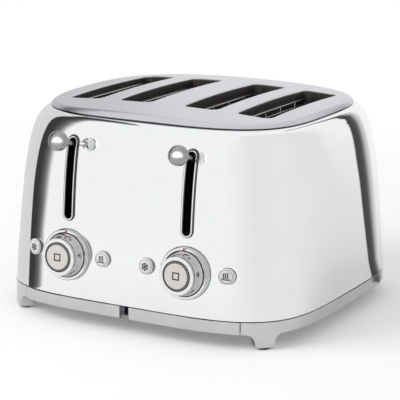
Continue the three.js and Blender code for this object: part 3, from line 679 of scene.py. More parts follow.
# Hot-dip galvanised sheet: grey zinc crystals a few millimetres across, darker than real zinc as painted
# shade for the dim inside.
GALVANISED_AND_SHADE = Finish("galvanised_sheet_and_painted_shade", "#6E7276", "#8C9093", 0.9, 0.42, 0.08, Grain.SPANGLED, mm(5))
# Drawn steel wire, nickel plated: bright, with fine draw lines along it.
BRIGHT_WIRE = Finish("nickel_plated_wire", "#B9B8B4", "#CFCECA", 1, 0.24, 0.06, Grain.BRUSHED, mm(1.2),
                     stretch=(1, 1, 0.1))
# Pressed mica sheet: pearly brown flakes in a resin binder.
MICA = Finish("mica_board", "#6F5E47", "#8F7C5E", 0, 0.55, 0.12, Grain.FLAKED, mm(6), relief=mm(0.05))
# Nickel-chromium ribbon, oxidised by heat.
HEATING_RIBBON = Finish("oxidised_heating_ribbon", "#5A5652", "#7B746C", 1, 0.38, 0.08, Grain.BRUSHED,
                        mm(1.5))
# Pale grey ABS: fine moulded texture, soft sheen.
PALE_PLASTIC = Finish("pale_grey_abs", "#CFCBC8", "#D5D2CF", 0, 0.38, 0.05, Grain.MOULDED, mm(0.8),
                      relief=mm(0.006))
# White-grey ABS of the small buttons, smoother than the stop button.
BUTTON_PLASTIC = Finish("light_grey_abs", "#D9DADA", "#DFDFDF", 0, 0.30, 0.05, Grain.MOULDED, mm(0.8),
                        relief=mm(0.004))
# Dark grey round the stop face and down its sides; in the small buttons' grooves and at their feet, where
# they meet the skin, it is painted shade.
TRIM_AND_SHADE_PLASTIC = Finish("dark_grey_abs_and_painted_shade", "#686463", "#706C6B", 0, 0.4, 0.05, Grain.MOULDED, mm(0.8),
                      relief=mm(0.004))
# Black glass-filled plastic in the lever slots: matt.
BLACK_PLASTIC = Finish("black_glass_filled_plastic", "#121212", "#1B1B1B", 0, 0.55, 0.08, Grain.MOULDED,
                       mm(0.9), relief=mm(0.01))
# Moulded rubber of the foot pads: dull and slightly uneven.
RUBBER = Finish("moulded_rubber", "#1E1E1E", "#2A2A2A", 0, 0.8, 0.06, Grain.MOULDED, mm(1.5), relief=mm(0.03))
# Fibreglass board under green solder mask.
CIRCUIT_BOARD = Finish("solder_mask_board", "#1F5A36", "#2E7448", 0, 0.4, 0.08, Grain.FLAKED, mm(9))
# Enamelled copper winding of the holding magnet.
COPPER = Finish("enamelled_copper", "#8C4A28", "#B4673C", 0.9, 0.35, 0.06, Grain.BRUSHED, mm(0.6),
                stretch=(1, 0.1, 1))
# Pad-printed ink, dark grey and red: thin, slightly glossy.
DARK_INK = Finish("dark_print_ink", "#201E1D", "#2A2826", 0, 0.45, 0.05, Grain.MOULDED, mm(0.6))
RED_INK = Finish("red_print_ink", "#A81E30", "#B8283A", 0, 0.45, 0.05, Grain.MOULDED, mm(0.6))
# What the CAD nodes wear, by the record's material slots.
# The galvanised finish is darkened as painted shade for the dim inside of the toaster.
SLOT_FINISHES = {
    "polished_steel": CHROME, "brushed_steel": BRUSHED_STEEL, "satin_metal": PLATED_ZINC, "mica": MICA,
    "galvanised_steel": GALVANISED_AND_SHADE, "bright_wire": BRIGHT_WIRE, "pale_plastic": PALE_PLASTIC,
    "rubber": RUBBER, "black_plastic": BLACK_PLASTIC, "circuit_board": CIRCUIT_BOARD, "copper_coil": COPPER}


def dressed(piece: Piece, finish: Finish, body: str, slot: str, *nodes: str) -> None:
    """Gives a piece its finish and ties it to the frame.

    Args:
        piece: the piece.
        finish: its surface.
        body: the body that it rides on.
        slot: the record's material slot; not used.
        *nodes: the CAD nodes that it stands for.
    """
    piece.data.materials.clear()
    piece.data.materials.append(finish.material())
    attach(piece, body)
    if nodes:
        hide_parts(*nodes)
    LOG.info("%s: %d faces, on %s", piece.name, len(piece.data.polygons), body)


def detailed(piece: Piece, finish: Finish, place: Matrix, chosen: Callable[[Vector, Vector], bool]) -> None:
    """Gives some faces of a dressed piece another finish; on many pieces this is painted shade or a painted
    reflection.

    Args:
        piece: the piece.
        finish: the other surface.
        place: the frame in which the faces are chosen.
        chosen: whether a face with this middle and normal takes the finish.
    """
    piece.data.materials.append(finish.material())
    index, back = len(piece.data.materials) - 1, place.inverted()
    turn = back.to_3x3()
    for face in piece.data.polygons:
        if chosen(back @ face.center, turn @ face.normal):
            face.material_index = index


# Sub-assemblies


@dataclass
class Skin:
    """The mirror-polished sheet round the toaster, with openings for the levers, dials and buttons."""

    bottom: float = mm(27.0)
    wall: float = mm(1.2)
    sides: int = 192
    rows: int = 60
    dial_hole: float = 24.7
    button_hole: float = 7.8
    cutter_reach: float = 12.0

    def heights(self) -> list[float]:
        """Heights of the rows, closer together where the shoulder turns.

        Returns:
            The heights, from the lowest up.
        """
        power, reach, count = FORM.shoulder_power, FORM.shoulder_reach, self.rows
        last = math.asin(reach ** (power / 2))
        fine = [math.sin(last * i / count) ** (2 / power) / reach for i in range(count + 1)]
        even = [i / count for i in range(count + 1)]
        shares = sorted(0.5 * a + 0.5 * b for a, b in zip(fine, even))
        return [self.bottom + (FORM.seam - self.bottom) * share for share in shares]

    def openings(self) -> list[Piece]:
        """Cutters for everything that passes through the front.

        Returns:
            The cutters, apart from each other.
        """
        cutters = []
        for _, sign in SIDES:
            pair = sign * Pair.spacing
            cutters.append(LeverSlot.cutter(pair))
            holes = [(pair, Pair.knob_height, self.dial_hole)]
            holes += [(pair + way * Pair.button_offset, Pair.button_height, self.button_hole)
                      for way in (-1, 1)]
            for x, z, radius in holes:
                profile = [(radius, -self.cutter_reach), (radius, self.cutter_reach)]
                cutters.append(placed(turned("hole_cutter", profile, 64),
                                      FORM.front_place(x, z, Pair.lean())))
        return cutters

    def build(self) -> None:
        """Presses the sheet, gives it its wall, cuts and dresses it."""
        rows = self.heights()
        skin = lofted("polished_skin", self.sides, len(rows),
                      lambda side, row: FORM.point(side / self.sides * math.tau, rows[row]))
        modified(skin, "SOLIDIFY", thickness=self.wall, offset=-1.0, use_even_offset=True)
        cut(skin, self.openings())
        polished_normals(skin, MIRROR.wall_normal)
        dressed(skin, POLISHED_STEEL, "housing", "polished_steel", "body_skin")


@dataclass
class TopPlate:
    """The crowned brushed plate with its four bread slots, each edge rolled down into a collar."""

    bottom: float = mm(195.1)
    wall: float = mm(1.2)
    edge: float = mm(5)
    # The plate's lowest strip, this high, is painted shade: a dark line along the seam.
    shaded_edge: float = mm(0.8)
    slot_half: Point = (mm(17.3), mm(73.5))
    slot_offset: float = mm(28)
    corner: float = mm(7)
    roll: float = mm(2)
    back: float = mm(2)
    collar_bottom: float = mm(190)
    collar_wall: float = mm(1)
    cutter: Point = (mm(185), mm(215))
    sides: int = 160
    rings: tuple[float, ...] = (0.06, 0.2, 0.34, 0.48, 0.62, 0.74, 0.84, 0.92)

    def slot_outline(self, grow: float) -> list[Point]:
        """Points of a slot's edge about its middle, grown by an offset."""
        x, y = (half - self.corner for half in self.slot_half)
        return rounded([(x, y), (-x, y), (-x, -y), (x, -y)], self.corner + grow, 12, 10)

    def places(self) -> list[tuple[str, float]]:
        """Name and middle of each slot."""
        return [(f"{side}_{pair}", sign * (Pair.spacing + way * self.slot_offset))
                for side, sign in SIDES for pair, way in (("outer", 1), ("inner", -1))]

    def sheet(self) -> Piece:
        """The crowned sheet with its rounded edge.

        Returns:
            The new object, with no thickness yet.
        """
        size = (*FORM.seam_half, FORM.powers[1])
        turns = [i / 12 * math.pi / 2 for i in range(13)]

        def shape(side: int, row: int) -> Vector:
            """A place on the crown, or on the edge past it.

            Args:
                side: the vertex's number in its row.
                row: the row's number.

            Returns:
                The place.
            """
            turn = side / self.sides * math.tau
            if row < len(self.rings):
                x, y = (v * self.rings[row] for v in FORM.outline(turn, size, self.edge))
                return Vector((x, y + FORM.middle, FORM.crown(x, y)))
            over = turns[row - len(self.rings)]
            x, y = FORM.outline(turn, size, self.edge * (1 - math.sin(over)))
            z = self.bottom + (FORM.crown(x, y) - self.bottom) * math.cos(over)
            return Vector((x, y + FORM.middle, z))

        sheet = lofted("brushed_top_plate", self.sides, len(self.rings) + len(turns), shape)
        with editing(sheet):
            bpy.ops.mesh.fill_holes(sides=self.sides)
        return sheet

    def collar(self, name: str, middle: float) -> Piece:
        """A slot's rolled edge and the collar under it.

        Args:
            name: the slot's name.
            middle: the slot's middle.

        Returns:
            The new object.
        """
        arcs = [i / 6 * math.pi / 2 for i in range(7)]
        section = [(0.0, None, self.collar_bottom)]
        section += [(self.roll * (1 - math.cos(a)), self.roll * (1 - math.sin(a)), None) for a in arcs]
        section += [(self.roll, self.wall, None), (self.collar_wall, self.wall + self.roll / 2, None),
                    (self.collar_wall, None, self.collar_bottom)]
        outlines = [self.slot_outline(offset) for offset, _, _ in section]

        def shape(side: int, row: int) -> Vector:
            """A place on the section, hung from the crown or at a height of its own.

            Args:
                side: the vertex's number in its row.
                row: the row's number.

            Returns:
                The place.
            """
            x, y = outlines[row][side]
            _, below, height = section[row]
            across, along = middle + x, self.back + y
            z = height if below is None else FORM.crown(across, along) - below
            return Vector((across, along + FORM.middle, z))

        return lofted(f"{name}_slot_collar", len(outlines[0]), len(section), shape, closed=True)

    def build(self) -> None:
        """Makes the plate and its collars and dresses them."""
        sheet = modified(self.sheet(), "SOLIDIFY", thickness=self.wall, offset=-1.0, use_even_offset=True)
        outline = self.slot_outline(self.roll)
        cut(sheet, [prism("slot_cutter", [(middle + x, self.back + FORM.middle + y) for x, y in outline],
                          *self.cutter) for _, middle in self.places()])
        inner = [half - self.edge for half in FORM.seam_half]

        def normal_at(point: Vector) -> Vector | None:
            """The crown's normal inside the rounded edge.

            Args:
                point: a point of the sheet.

            Returns:
                The normal, or None on the edge.
            """
            x, y = point.x, point.y - FORM.middle
            flat = abs(x / inner[0]) ** FORM.powers[1] + abs(y / inner[1]) ** FORM.powers[1] < 1.001
            return FORM.crown_normal(x, y) if flat else None

        polished_normals(sheet, normal_at)
        dressed(sheet, BRUSHED_STEEL, "housing", "brushed_steel", "top_plate")
        # The lowest strip of the rolled edge is painted shade, a dark line over the skin at the seam.
        seam = self.bottom + self.shaded_edge
        detailed(sheet, PAINTED_SHADE_CHROME, Matrix(), lambda middle, _: middle.z < seam)
        for name, middle in self.places():
            collar = smoothed(self.collar(name, middle), 40)
            dressed(collar, BRUSHED_STEEL, "housing", "brushed_steel", "top_plate")
            # The collar walls take the heat tint, darkened further as painted shade inside the slots.
            detailed(collar, HEAT_TINT_AND_SHADE_STEEL, Matrix(), lambda _, normal: abs(normal.z) < 0.4)


@dataclass
class Base:
    """The plated band under the skin, its four feet and their pads, and the two tray fronts let into it."""

    top: float = mm(26)
    low: float = mm(14)
    foot_low: float = mm(1.6)
    foot_half: Point = (mm(9), mm(19))
    foot_depth: float = mm(15)
    foot_reach: float = mm(45)
    foot_inset: float = mm(0.4)
    wall: float = mm(3.5)
    round: float = mm(1.4)
    bevel: float = mm(0.25)
    inner_bevel: float = mm(0.5)
    rim_inset: float = mm(1.5)
    rim_top: float = mm(32)
    rim_sides: int = 160
    tray_half: float = mm(115.99)
    seam: float = mm(0.6)
    gap: float = mm(0.3)
    samples: int = 8000
    pace: float = mm(3.2)
    fall: float = mm(0.45)

    def walk(self) -> list[tuple[Point, Point]]:
        """Goes round the band's outline, from the casing's middle.

        Returns:
            Points and their ways out.
        """
        size = FORM.at(0.0)
        points = [FORM.outline(i / self.samples * math.tau, size) for i in range(self.samples)]
        found = []
        for i, point in enumerate(points):
            (x0, y0), (x1, y1) = points[i - 1], points[(i + 1) % self.samples]
            length = math.hypot(x1 - x0, y1 - y0)
            found.append((point, ((y1 - y0) / length, (x0 - x1) / length)))
        return found

    def corners(self) -> list[tuple[str, Vector, Vector]]:
        """Where the feet stand, from the casing's middle.

        Returns:
            Name, place and way out of each foot.
        """
        half_x, half_y, power = FORM.at(0.0)
        share = 0.5 ** (1 / power)
        out = Vector((1 / half_x, 1 / half_y)).normalized()
        return [(f"{side}_{end}", Vector((sx * half_x * share, sy * half_y * share)),
                 Vector((sx * out.x, sy * out.y)))
                for side, sx in SIDES for end, sy in (("front", -1), ("rear", 1))]

    def foot_across(self, point: Point) -> float:
        """How far a point is from a foot's middle, along the foot's width.

        Args:
            point: a point of the outline.

        Returns:
            The distance, infinite away from the feet.
        """
        best = math.inf
        for _, place, out in self.corners():
            away = Vector(point) - place
            if away.length < self.foot_reach:
                best = abs(away.x * -out.y + away.y * out.x)
        return best

    def low_edge(self, across: float) -> float:
        """Follows the band's lower edge into a foot.

        Args:
            across: distance from the foot's middle.

        Returns:
            The edge's height.
        """
        inner, outer = self.foot_half
        if across >= outer:
            return self.low
        share = math.sqrt(max(across - inner, 0.0) / (outer - inner))
        return self.low - (self.low - self.foot_low) * (1 - share) ** 2

    def stations(self, keep: Callable[[Point], bool]) -> list[tuple[Point, Point, float]]:
        """Places along the band, closer together where a foot curves into it.

        Args:
            keep: whether a point belongs to the piece.

        Returns:
            Point, way out and height of the lower edge, in order round the band.
        """
        chosen = []
        travelled = math.inf
        last: Point | None = None
        edge = self.low
        walk = self.walk()
        first = next((i for i in range(self.samples) if keep(walk[i][0]) and not keep(walk[i - 1][0])), 0)
        for i in range(self.samples):
            point, out = walk[(first + i) % self.samples]
            if not keep(point):
                continue
            if last:
                travelled += math.hypot(point[0] - last[0], point[1] - last[1])
            last = point
            low = self.low_edge(self.foot_across(point))
            if travelled > self.pace or abs(low - edge) > self.fall:
                chosen.append((point, out, low))
                travelled, edge = 0.0, low
        return chosen

    def section(self, low: float) -> list[Point]:
        """Draws the band's section.

        Args:
            low: height of its lower edge.

        Returns:
            Insets and heights, in order round it.
        """
        arc = [(self.round * (1 - math.cos(a)), low + self.round * (1 - math.sin(a)))
               for a in (i / 6 * math.pi / 2 for i in range(7))]
        return [(self.bevel, self.top), (0.0, self.top - self.bevel), *arc,
                (self.wall - self.inner_bevel, low), (self.wall, low + self.inner_bevel),
                (self.wall, self.top)]

    def strip(self, name: str, keep: Callable[[Point], bool], mouth: float = 0.0) -> Piece:
        """A length of the band with closed ends.

        Args:
            name: the piece's name.
            keep: whether a point of the outline belongs to it.
            mouth: half width of the opening at the front that it stays clear of.

        Returns:
            The new object, shaded smooth.
        """
        stations = self.stations(keep)
        sections = [self.section(low) for _, _, low in stations]

        def shape(side: int, row: int) -> Vector:
            """A place on the section, never in the mouth.

            Args:
                side: the vertex's number in its row.
                row: the row's number.

            Returns:
                The place.
            """
            (x, y), (out_x, out_y), _ = stations[row]
            inset, z = sections[row][side]
            inner = x - out_x * inset
            if y < 0 and abs(inner) < mouth:
                inner = math.copysign(mouth, inner)
            return Vector((inner, y - out_y * inset + FORM.middle, z))

        return smoothed(lofted(name, len(sections[0]), len(stations), shape, capped=True), 30)

    def rim(self) -> Piece:
        """The rim that the skin slips over, black as painted shade so that the gap under it shows as a dark
        line.

        Returns:
            The new object.
        """
        low = self.top + self.gap
        section = [(self.rim_inset, low), (self.rim_inset, self.rim_top), (self.wall, self.rim_top),
                   (self.wall, low)]
        return smoothed(lofted("skin_rim", len(section), self.rim_sides, lambda side, row: FORM.point(
            row / self.rim_sides * math.tau, section[side][1], section[side][0]), closed=True))

    def foot(self, name: str, place: Vector, out: Vector) -> None:
        """A foot's core behind the band, and its rubber pad.

        Args:
            name: the corner's name.
            place: the foot's middle on the band's outline.
            out: the way out of the corner.
        """
        (inner, outer), drop = self.foot_half, self.low - self.foot_low
        side = [(inner + (outer - inner) * t * t - self.foot_inset, self.low - drop * (1 - t) ** 2)
                for t in (i / 10 for i in range(11))] + [(outer - self.foot_inset, self.low + mm(2))]
        outline = [(-x, z) for x, z in side] + [(x, z) for x, z in reversed(side)]
        core = prism(f"{name}_foot_core", outline, self.wall - mm(0.6), self.foot_depth)
        placed(core, Matrix(((-out.y, 0, -out.x, place.x), (out.x, 0, -out.y, place.y + FORM.middle),
                             (0, 1, 0, 0), (0, 0, 0, 1))))
        eased(tidied(core), mm(0.5))
        dressed(core, PLATED_ZINC, "housing", "satin_metal", "base_band")
        centre = place - out * self.foot_depth / 2
        pad = turned(f"{name}_rubber_pad", [(4.6, 0.5), (4.9, 0.0), (5.9, 0.0), (6.4, 0.5), (6.4, 4.6)], 48)
        eased(pad, mm(0.15), 2)
        placed(pad, Matrix.Translation((centre.x, centre.y + FORM.middle, 0)))
        dressed(pad, RUBBER, "housing", "rubber", f"{name}_foot_pad")

    def build(self) -> None:
        """Makes and dresses the band, the feet and the tray fronts."""
        mouth = self.tray_half + self.gap
        band = self.strip("plated_band", lambda p: p[1] > 0 or abs(p[0]) > mouth, mouth)
        dressed(band, PLATED_ZINC, "housing", "satin_metal", "base_band")
        # The rim is black as painted shade, so that the gap under the skin shows as a dark line.
        dressed(self.rim(), BLACK_PLASTIC, "housing", "satin_metal", "base_band")
        for name, place, out in self.corners():
            self.foot(name, place, out)
        for side, sign in SIDES:
            front = self.strip(f"{side}_tray_fascia",
                               lambda p, s=sign: p[1] < 0 and self.seam / 2 < p[0] * s < self.tray_half)
            dressed(front, PLATED_ZINC, f"{side}_tray", "satin_metal", f"{side}_tray_front")


@dataclass
class LeverSlot:
    """The slot that a lever runs in, with its bright bezel."""

    pair: float
    name: str
    top: float = mm(170.5)
    travel: float = mm(63)
    half: float = mm(3.5)
    margin: float = mm(5.6)
    lip: float = mm(3)
    rise: float = mm(2)
    seat: float = mm(0.3)
    collar: float = mm(1.2)
    depth: float = mm(3.6)
    cutter_depth: float = mm(200)

    def stadium(self, offset: float, arc: int = 20, straight: int = 24) -> list[Point]:
        """Points [across from the pair's middle, height] of the slot, grown by an offset."""
        high, low = self.top + self.margin - self.half, self.top - self.travel - self.margin + self.half
        return rounded([(0, high), (0, low)], self.half + offset, arc, straight)

    @staticmethod
    def cutter(pair: float) -> Piece:
        """A cutter for the skin, as wide as the bezel's collar.

        Args:
            pair: the pair's middle.

        Returns:
            The new object.
        """
        slot = LeverSlot(pair, "cutter")
        outline, depths = slot.stadium(slot.collar + slot.seat, 12, 6), (-slot.cutter_depth, 0.0)
        return lofted("lever_cutter", len(outline), 2, lambda side, row: Vector(
            (pair + outline[side][0], depths[row], outline[side][1])), capped=True)

    def bezel(self) -> Piece:
        """The bezel: a collar through the skin and a rounded lip that follows it.

        Returns:
            The new object.
        """
        rise = self.rise - self.seat
        section = [(0.0, -self.depth), (self.collar, -self.depth), (self.collar, self.seat)]
        section += [(self.lip / 2 * (1 + math.cos(a)), self.seat + rise * math.sin(a) ** 0.8)
                    for a in (i / 8 * math.pi for i in range(9))]
        rings = [self.stadium(offset) for offset, _ in section]

        def shape(side: int, row: int) -> Vector:
            """A place on the section, measured out from the skin."""
            x, z = rings[side][row]
            return Vector((self.pair + x, FORM.front_y(self.pair + x, z) - section[side][1], z))

        return lofted(f"{self.name}_lever_slot_bezel", len(section), len(rings[0]), shape, closed=True)

    def build(self) -> None:
        """Makes and dresses the bezel; the channel behind it keeps its CAD solid."""
        bezel = smoothed(self.bezel(), 40)
        dressed(bezel, CHROME, "housing", "polished_steel", f"{self.name}_lever_bezel")
        # All but the lip's crest is painted shade; the crest keeps the bright chrome.
        detailed(bezel, PAINTED_SHADE_CHROME, Matrix(), lambda _, normal: -normal.y < 0.93)


@dataclass
class Lever:
    """A ball on its stem."""

    pair: float
    name: str
    height: float = mm(170.5)
    inner_end: float = -6.0
    stem: float = 2.6
    radius: float = 9.5
    reach: float = 25.9
    flat: float = 0.9
    steps: int = 40

    def build(self) -> None:
        """Turns the stem and ball in one and puts them on the front."""
        half = self.radius * self.flat
        neck = math.asin(self.stem * 1.25 / self.radius)
        turns = [neck + (math.pi - neck) * i / self.steps for i in range(self.steps + 1)]
        ball = [(max(self.radius * math.sin(t), 0.02), self.reach - half * math.cos(t)) for t in turns]
        foot, place = self.reach - half, FORM.front_place(self.pair, self.height)
        profile = [(self.stem, self.inner_end), (self.stem, foot - 2.2), (self.stem * 1.3, foot - 1.6),
                   (self.stem * 1.45, foot - 0.6), *ball]
        lever = placed(smoothed(turned(f"{self.name}_lever_knob", profile), 40), place)
        # The ball's front wears chrome darkened as painted shade; its back half, facing the skin, is bright
        # chrome as a painted reflection, so that its image in the skin shows pale.
        dressed(lever, PAINTED_SHADE_BALL_CHROME, f"{self.name}_lever", "polished_steel", f"{self.name}_lever_ball")
        detailed(lever, CHROME, place, lambda middle, normal: middle.z > mm(foot) and normal.z < -0.4)


@dataclass(frozen=True)
class Marks:
    """Printed numbers and signs: thin closed shapes laid on a surface, their sizes in millimetres."""

    thick: float = mm(0.1)
    bold: float = mm(0.1)

    def bar(self, start: Point, end: Point, width: float) -> Piece:
        """A thin bar between two points.

        Args:
            start: its first end.
            end: its other end.
            width: how wide it is, and how far it runs on past its ends together.

        Returns:
            The new object.
        """
        clear_selection()
        along = Vector(end) - Vector(start)
        middle = (Vector(start) + Vector(end)) / 2
        bpy.ops.mesh.primitive_cube_add(size=1, location=(mm(middle.x), mm(middle.y), 0))
        bar = bpy.context.active_object
        bar.rotation_euler.z = math.atan2(along.y, along.x)
        bar.scale = (mm(along.length + width), mm(width), self.thick)
        bpy.ops.object.transform_apply()
        return bar

    def number(self, digit: str, size: float) -> Piece:
        """A printed number.

        Args:
            digit: the number.
            size: its height.

        Returns:
            The new object.
        """
        clear_selection()
        bpy.ops.object.text_add()
        text = bpy.context.active_object
        text.data.body, text.data.size = digit, mm(size)
        text.data.align_x, text.data.align_y = "CENTER", "CENTER"
        text.data.extrude, text.data.offset, text.data.resolution_u = self.thick / 2, self.bold, 4
        bpy.ops.object.convert(target="MESH")
        return tidied(bpy.context.active_object)

    def snowflake(self, name: str, size: float) -> Piece:
        """Six arms with forked ends, for defrosting.

        Args:
            name: the sign's name.
            size: length of an arm, in millimetres.

        Returns:
            The new object.
        """
        bars = []
        for i in range(6):
            turn = i * math.pi / 3
            way = Vector((math.sin(turn), math.cos(turn)))
            side = Vector((way.y, -way.x))
            bars.append(self.bar((0, 0), way * size, 0.8))
            bars += [self.bar(way * size * 0.55, way * size * 0.85 + side * hand * size * 0.3, 0.7)
                     for hand in (-1, 1)]
        return joined(name, bars)

    def rising_heat(self, name: str, size: float) -> Piece:
        """Three wavy lines over a slice, for reheating.

        Args:
            name: the sign's name.
            size: half its width, in millimetres.

        Returns:
            The new object.
        """
        bars = [self.bar((-size * half, size * up), (size * half, size * up), width)
                for half, up, width in ((1.0, -0.75, 0.8), (0.8, -0.4, 0.6))]
        for k in (-1, 0, 1):
            points = [(k * size * 0.5 + 0.28 * math.sin(i * 1.6), size * (-0.1 + i * 0.2)) for i in range(6)]
            bars += [self.bar(a, b, 0.8) for a, b in zip(points, points[1:])]
        return joined(name, bars)


@dataclass
class Pair:
    """One pair's controls on the front, their radii and heights over the skin in millimetres."""

    name: str
    sign: int
    marks: Marks = Marks()
    dial: float = 24.4
    dial_wall: float = 3.0
    dial_top: float = 4.4
    skirt: float = 20.6
    ring: float = 17.7
    rim_top: float = 17.2
    rim_round: float = 0.6
    bore: float = 3.9
    stop: float = 13.4
    stop_room: float = 0.6
    stop_face: float = 11.7
    stop_top: float = 17.8
    small: float = 7.5
    small_top: float = 3.6
    small_crown: float = 0.4
    numbers: int = 6
    number_size: float = 5.0
    number_height: float = 9.4
    turn_range: float = 270.0
    stop_sign_half: float = 3.0
    stop_sign_line: float = 1.2
    sign_size: float = 3.5
    print_gap: float = 0.02
    taper: tuple[Point, ...] = (
        (20.6, 5.0), (20.0, 5.5), (19.2, 6.4), (18.7, 8.0), (18.35, 10.0), (18.25, 12.6))

    spacing = mm(63.5)
    knob_height = mm(67)
    button_height = mm(68)
    button_offset = mm(39.8)

    @staticmethod
    def lean() -> float:
        """Lean of the dials' axes."""
        return FORM.lean_at(Pair.spacing, Pair.knob_height)

    @property
    def middle(self) -> float:
        """Where the pair's middle lies."""
        return self.sign * self.spacing

    def place(self, across: float = 0.0) -> Matrix:
        """Frame of the dial, or of a button beside it."""
        height = self.button_height if across else self.knob_height
        return FORM.front_place(self.middle + across, height, self.lean())

    def on_dial(self, piece: Piece, lift: float = 0.0) -> Piece:
        """Puts a piece on the dial's axis, at a height over its seat."""
        return placed(piece, self.place() @ Matrix.Translation((0, 0, mm(lift))))

    def dial_ring(self) -> None:
        """The fixed ring round the knob, with the red mark and the dark tick on it."""
        outer, inner, top = self.dial, self.dial - self.dial_wall, self.dial_top
        flange, groove = outer + 3, outer - 0.35
        profile = [(inner, -8.5), (flange, -8.5), (flange, -7), (outer, -7), (outer, 0.4), (groove, 0.7),
                   (groove, 1.1), (outer, 1.4), (outer, top - 1), (outer - 1, top), (inner, top)]
        ring = self.on_dial(eased(turned(f"{self.name}_dial_trim", profile, 128, ring=True), mm(0.25)))
        dressed(ring, SATIN_CHROME, "housing", "polished_steel", f"{self.name}_dial_ring")
        detailed(ring, CHROME, self.place(), lambda middle, normal: normal.z > 0.9 and middle.z > mm(4))
        for use, start, end, width, ink in (("pointer", (0, inner + 0.9), (0, outer - 1.7), 1.7, RED_INK),
                                            ("tick", (1.6, outer - 2.0), (2.3, outer - 0.9), 0.6, DARK_INK)):
            mark = self.marks.bar(start, end, width)
            mark.name = f"{self.name}_dial_{use}"
            dressed(self.on_dial(mark, top + self.print_gap), ink, "housing", "pale_plastic")

    def knob(self) -> None:
        """The browning knob and its numbers."""
        recess, lip, top = self.stop + self.stop_room, self.rim_round, self.rim_top
        start = self.taper[-1][1] + 0.6
        waist, floor = self.ring - lip / 2, 9
        profile = [(self.bore, -18.7), (6, -18.7), (6, -1.5), (self.skirt, -1.5), *self.taper,
                   (waist, start + 0.4), (waist, start + 0.9), (self.ring, start + 1.5),
                   (self.ring, top - lip), (self.ring - lip * 0.3, top - lip * 0.3), (self.ring - lip, top),
                   (recess + lip, top), (recess + lip * 0.3, top - lip * 0.3), (recess, top - lip),
                   (recess, floor), (self.bore, floor)]
        knob = self.on_dial(eased(turned(f"{self.name}_browning_dial", profile, 128, ring=True), mm(0.2)))
        dressed(knob, SATIN_CHROME, f"{self.name}_knob", "polished_steel", f"{self.name}_browning_knob")
        detailed(knob, CHROME, self.place(), lambda middle, normal: normal.z > 0.6 and middle.z > mm(16))
        # A band at the knob's waist, under the ring, is painted shade.
        detailed(knob, PAINTED_SHADE_CHROME, self.place(), lambda middle, _: mm(start) < middle.z < mm(start + 1.6))
        step = self.turn_range / (self.numbers - 1)
        for i in range(self.numbers):
            self.skirt_number(str(i + 1), math.radians(step * i - self.turn_range / 2))

    def stop_button(self) -> None:
        """The stop button in the knob, with its square."""
        radius, top, edge = self.stop, self.stop_top, self.stop_face
        face = [(3, -20), (3, 11.8), (radius, 11.8), (radius, top - 1.2), (radius - 0.3, top - 0.9),
                (edge + 0.25, top - 0.9), (edge, top - 0.8), (edge, top - 0.25), (edge - 0.25, top - 0.05),
                (edge - 0.8, top), (1.0, top)]
        stop = self.on_dial(eased(turned(f"{self.name}_stop_cap", face), mm(0.08), 2))
        dressed(stop, PALE_PLASTIC, f"{self.name}_stop", "pale_plastic", f"{self.name}_stop_button")
        detailed(stop, TRIM_AND_SHADE_PLASTIC, self.place(), lambda middle, _:
                 math.hypot(middle.x, middle.y) > mm(edge - 0.1) or middle.z < mm(top - 0.5))
        half, corners = self.stop_sign_half, [(-1, -1), (1, -1), (1, 1), (-1, 1)]
        sign = joined(f"{self.name}_stop_sign", [
            self.marks.bar((x0 * half, y0 * half), (x1 * half, y1 * half), self.stop_sign_line)
            for (x0, y0), (x1, y1) in zip(corners, corners[1:] + corners[:1])])
        dressed(self.on_dial(sign, top + self.print_gap), DARK_INK, f"{self.name}_stop", "black_plastic")

    def skirt_number(self, digit: str, turn: float) -> None:
        """A number on the knob's tapered side, bent round it.

        Args:
            digit: the number.
            turn: clockwise angle from the top, seen from the front.
        """
        mark = self.marks.number(digit, self.number_size)
        for vertex in mark.data.vertices:
            x, y, z = vertex.co
            height = mm(self.number_height) + y
            radius = next(mm(r0 + (r1 - r0) * (height * 1000 - z0) / (z1 - z0))
                          for (r0, z0), (r1, z1) in zip(self.taper, self.taper[1:]) if height <= mm(z1))
            angle = turn + x / radius
            vertex.co = Vector((math.sin(angle) * (radius + z), math.cos(angle) * (radius + z), height))
        mark.name = f"{self.name}_dial_number_{digit}"
        dressed(self.on_dial(tidied(mark)), DARK_INK, f"{self.name}_knob", "black_plastic")

    def button(self, use: str, way: int) -> None:
        """A small button with its sign.

        Args:
            use: what it is for.
            way: which side of the knob it is on.
        """
        radius, top, seat = self.small, self.small_top, self.place(way * self.button_offset)
        side = self.middle + way * self.button_offset
        before, after = (FORM.front_y(side + hand * mm(0.5), self.button_height) for hand in (-1, 1))
        fall = (after - before) / mm(1)
        profile = [(3, -18), (3, -6), (radius, -6), (radius, 0.9), (radius, top - 1.2),
                   (radius - 0.15, top - 0.7), (radius - 0.5, top - 0.25), (radius - 1.1, top),
                   (radius - 1.5, top - 0.12), (radius - 1.9, top + 0.12), (radius - 3, top + 0.32),
                   (1.0, top + self.small_crown)]
        cap = eased(turned(f"{self.name}_{use}_cap", profile, 72), mm(0.12), 2)
        draw = self.marks.snowflake if use == "defrost" else self.marks.rising_heat
        lift = Matrix.Translation((0, 0, mm(top + self.small_crown + self.print_gap)))
        sign = placed(draw(f"{self.name}_{use}_sign", self.sign_size), lift)
        for piece in (cap, sign):
            for vertex in piece.data.vertices:
                if vertex.co.z > 0:
                    vertex.co.z -= fall * vertex.co.x
            placed(piece, seat)
        dressed(cap, BUTTON_PLASTIC, f"{self.name}_{use}", "pale_plastic", f"{self.name}_{use}_button")
        # The groove ring on the cap and its foot where it meets the skin are painted shade.
        detailed(cap, TRIM_AND_SHADE_PLASTIC, seat, lambda middle, _:
                 mm(radius - 1.75) < math.hypot(middle.x, middle.y) < mm(radius - 1.2) and middle.z > 0
                 or middle.z + fall * middle.x < mm(0.9))
        dressed(sign, DARK_INK, f"{self.name}_{use}", "black_plastic")

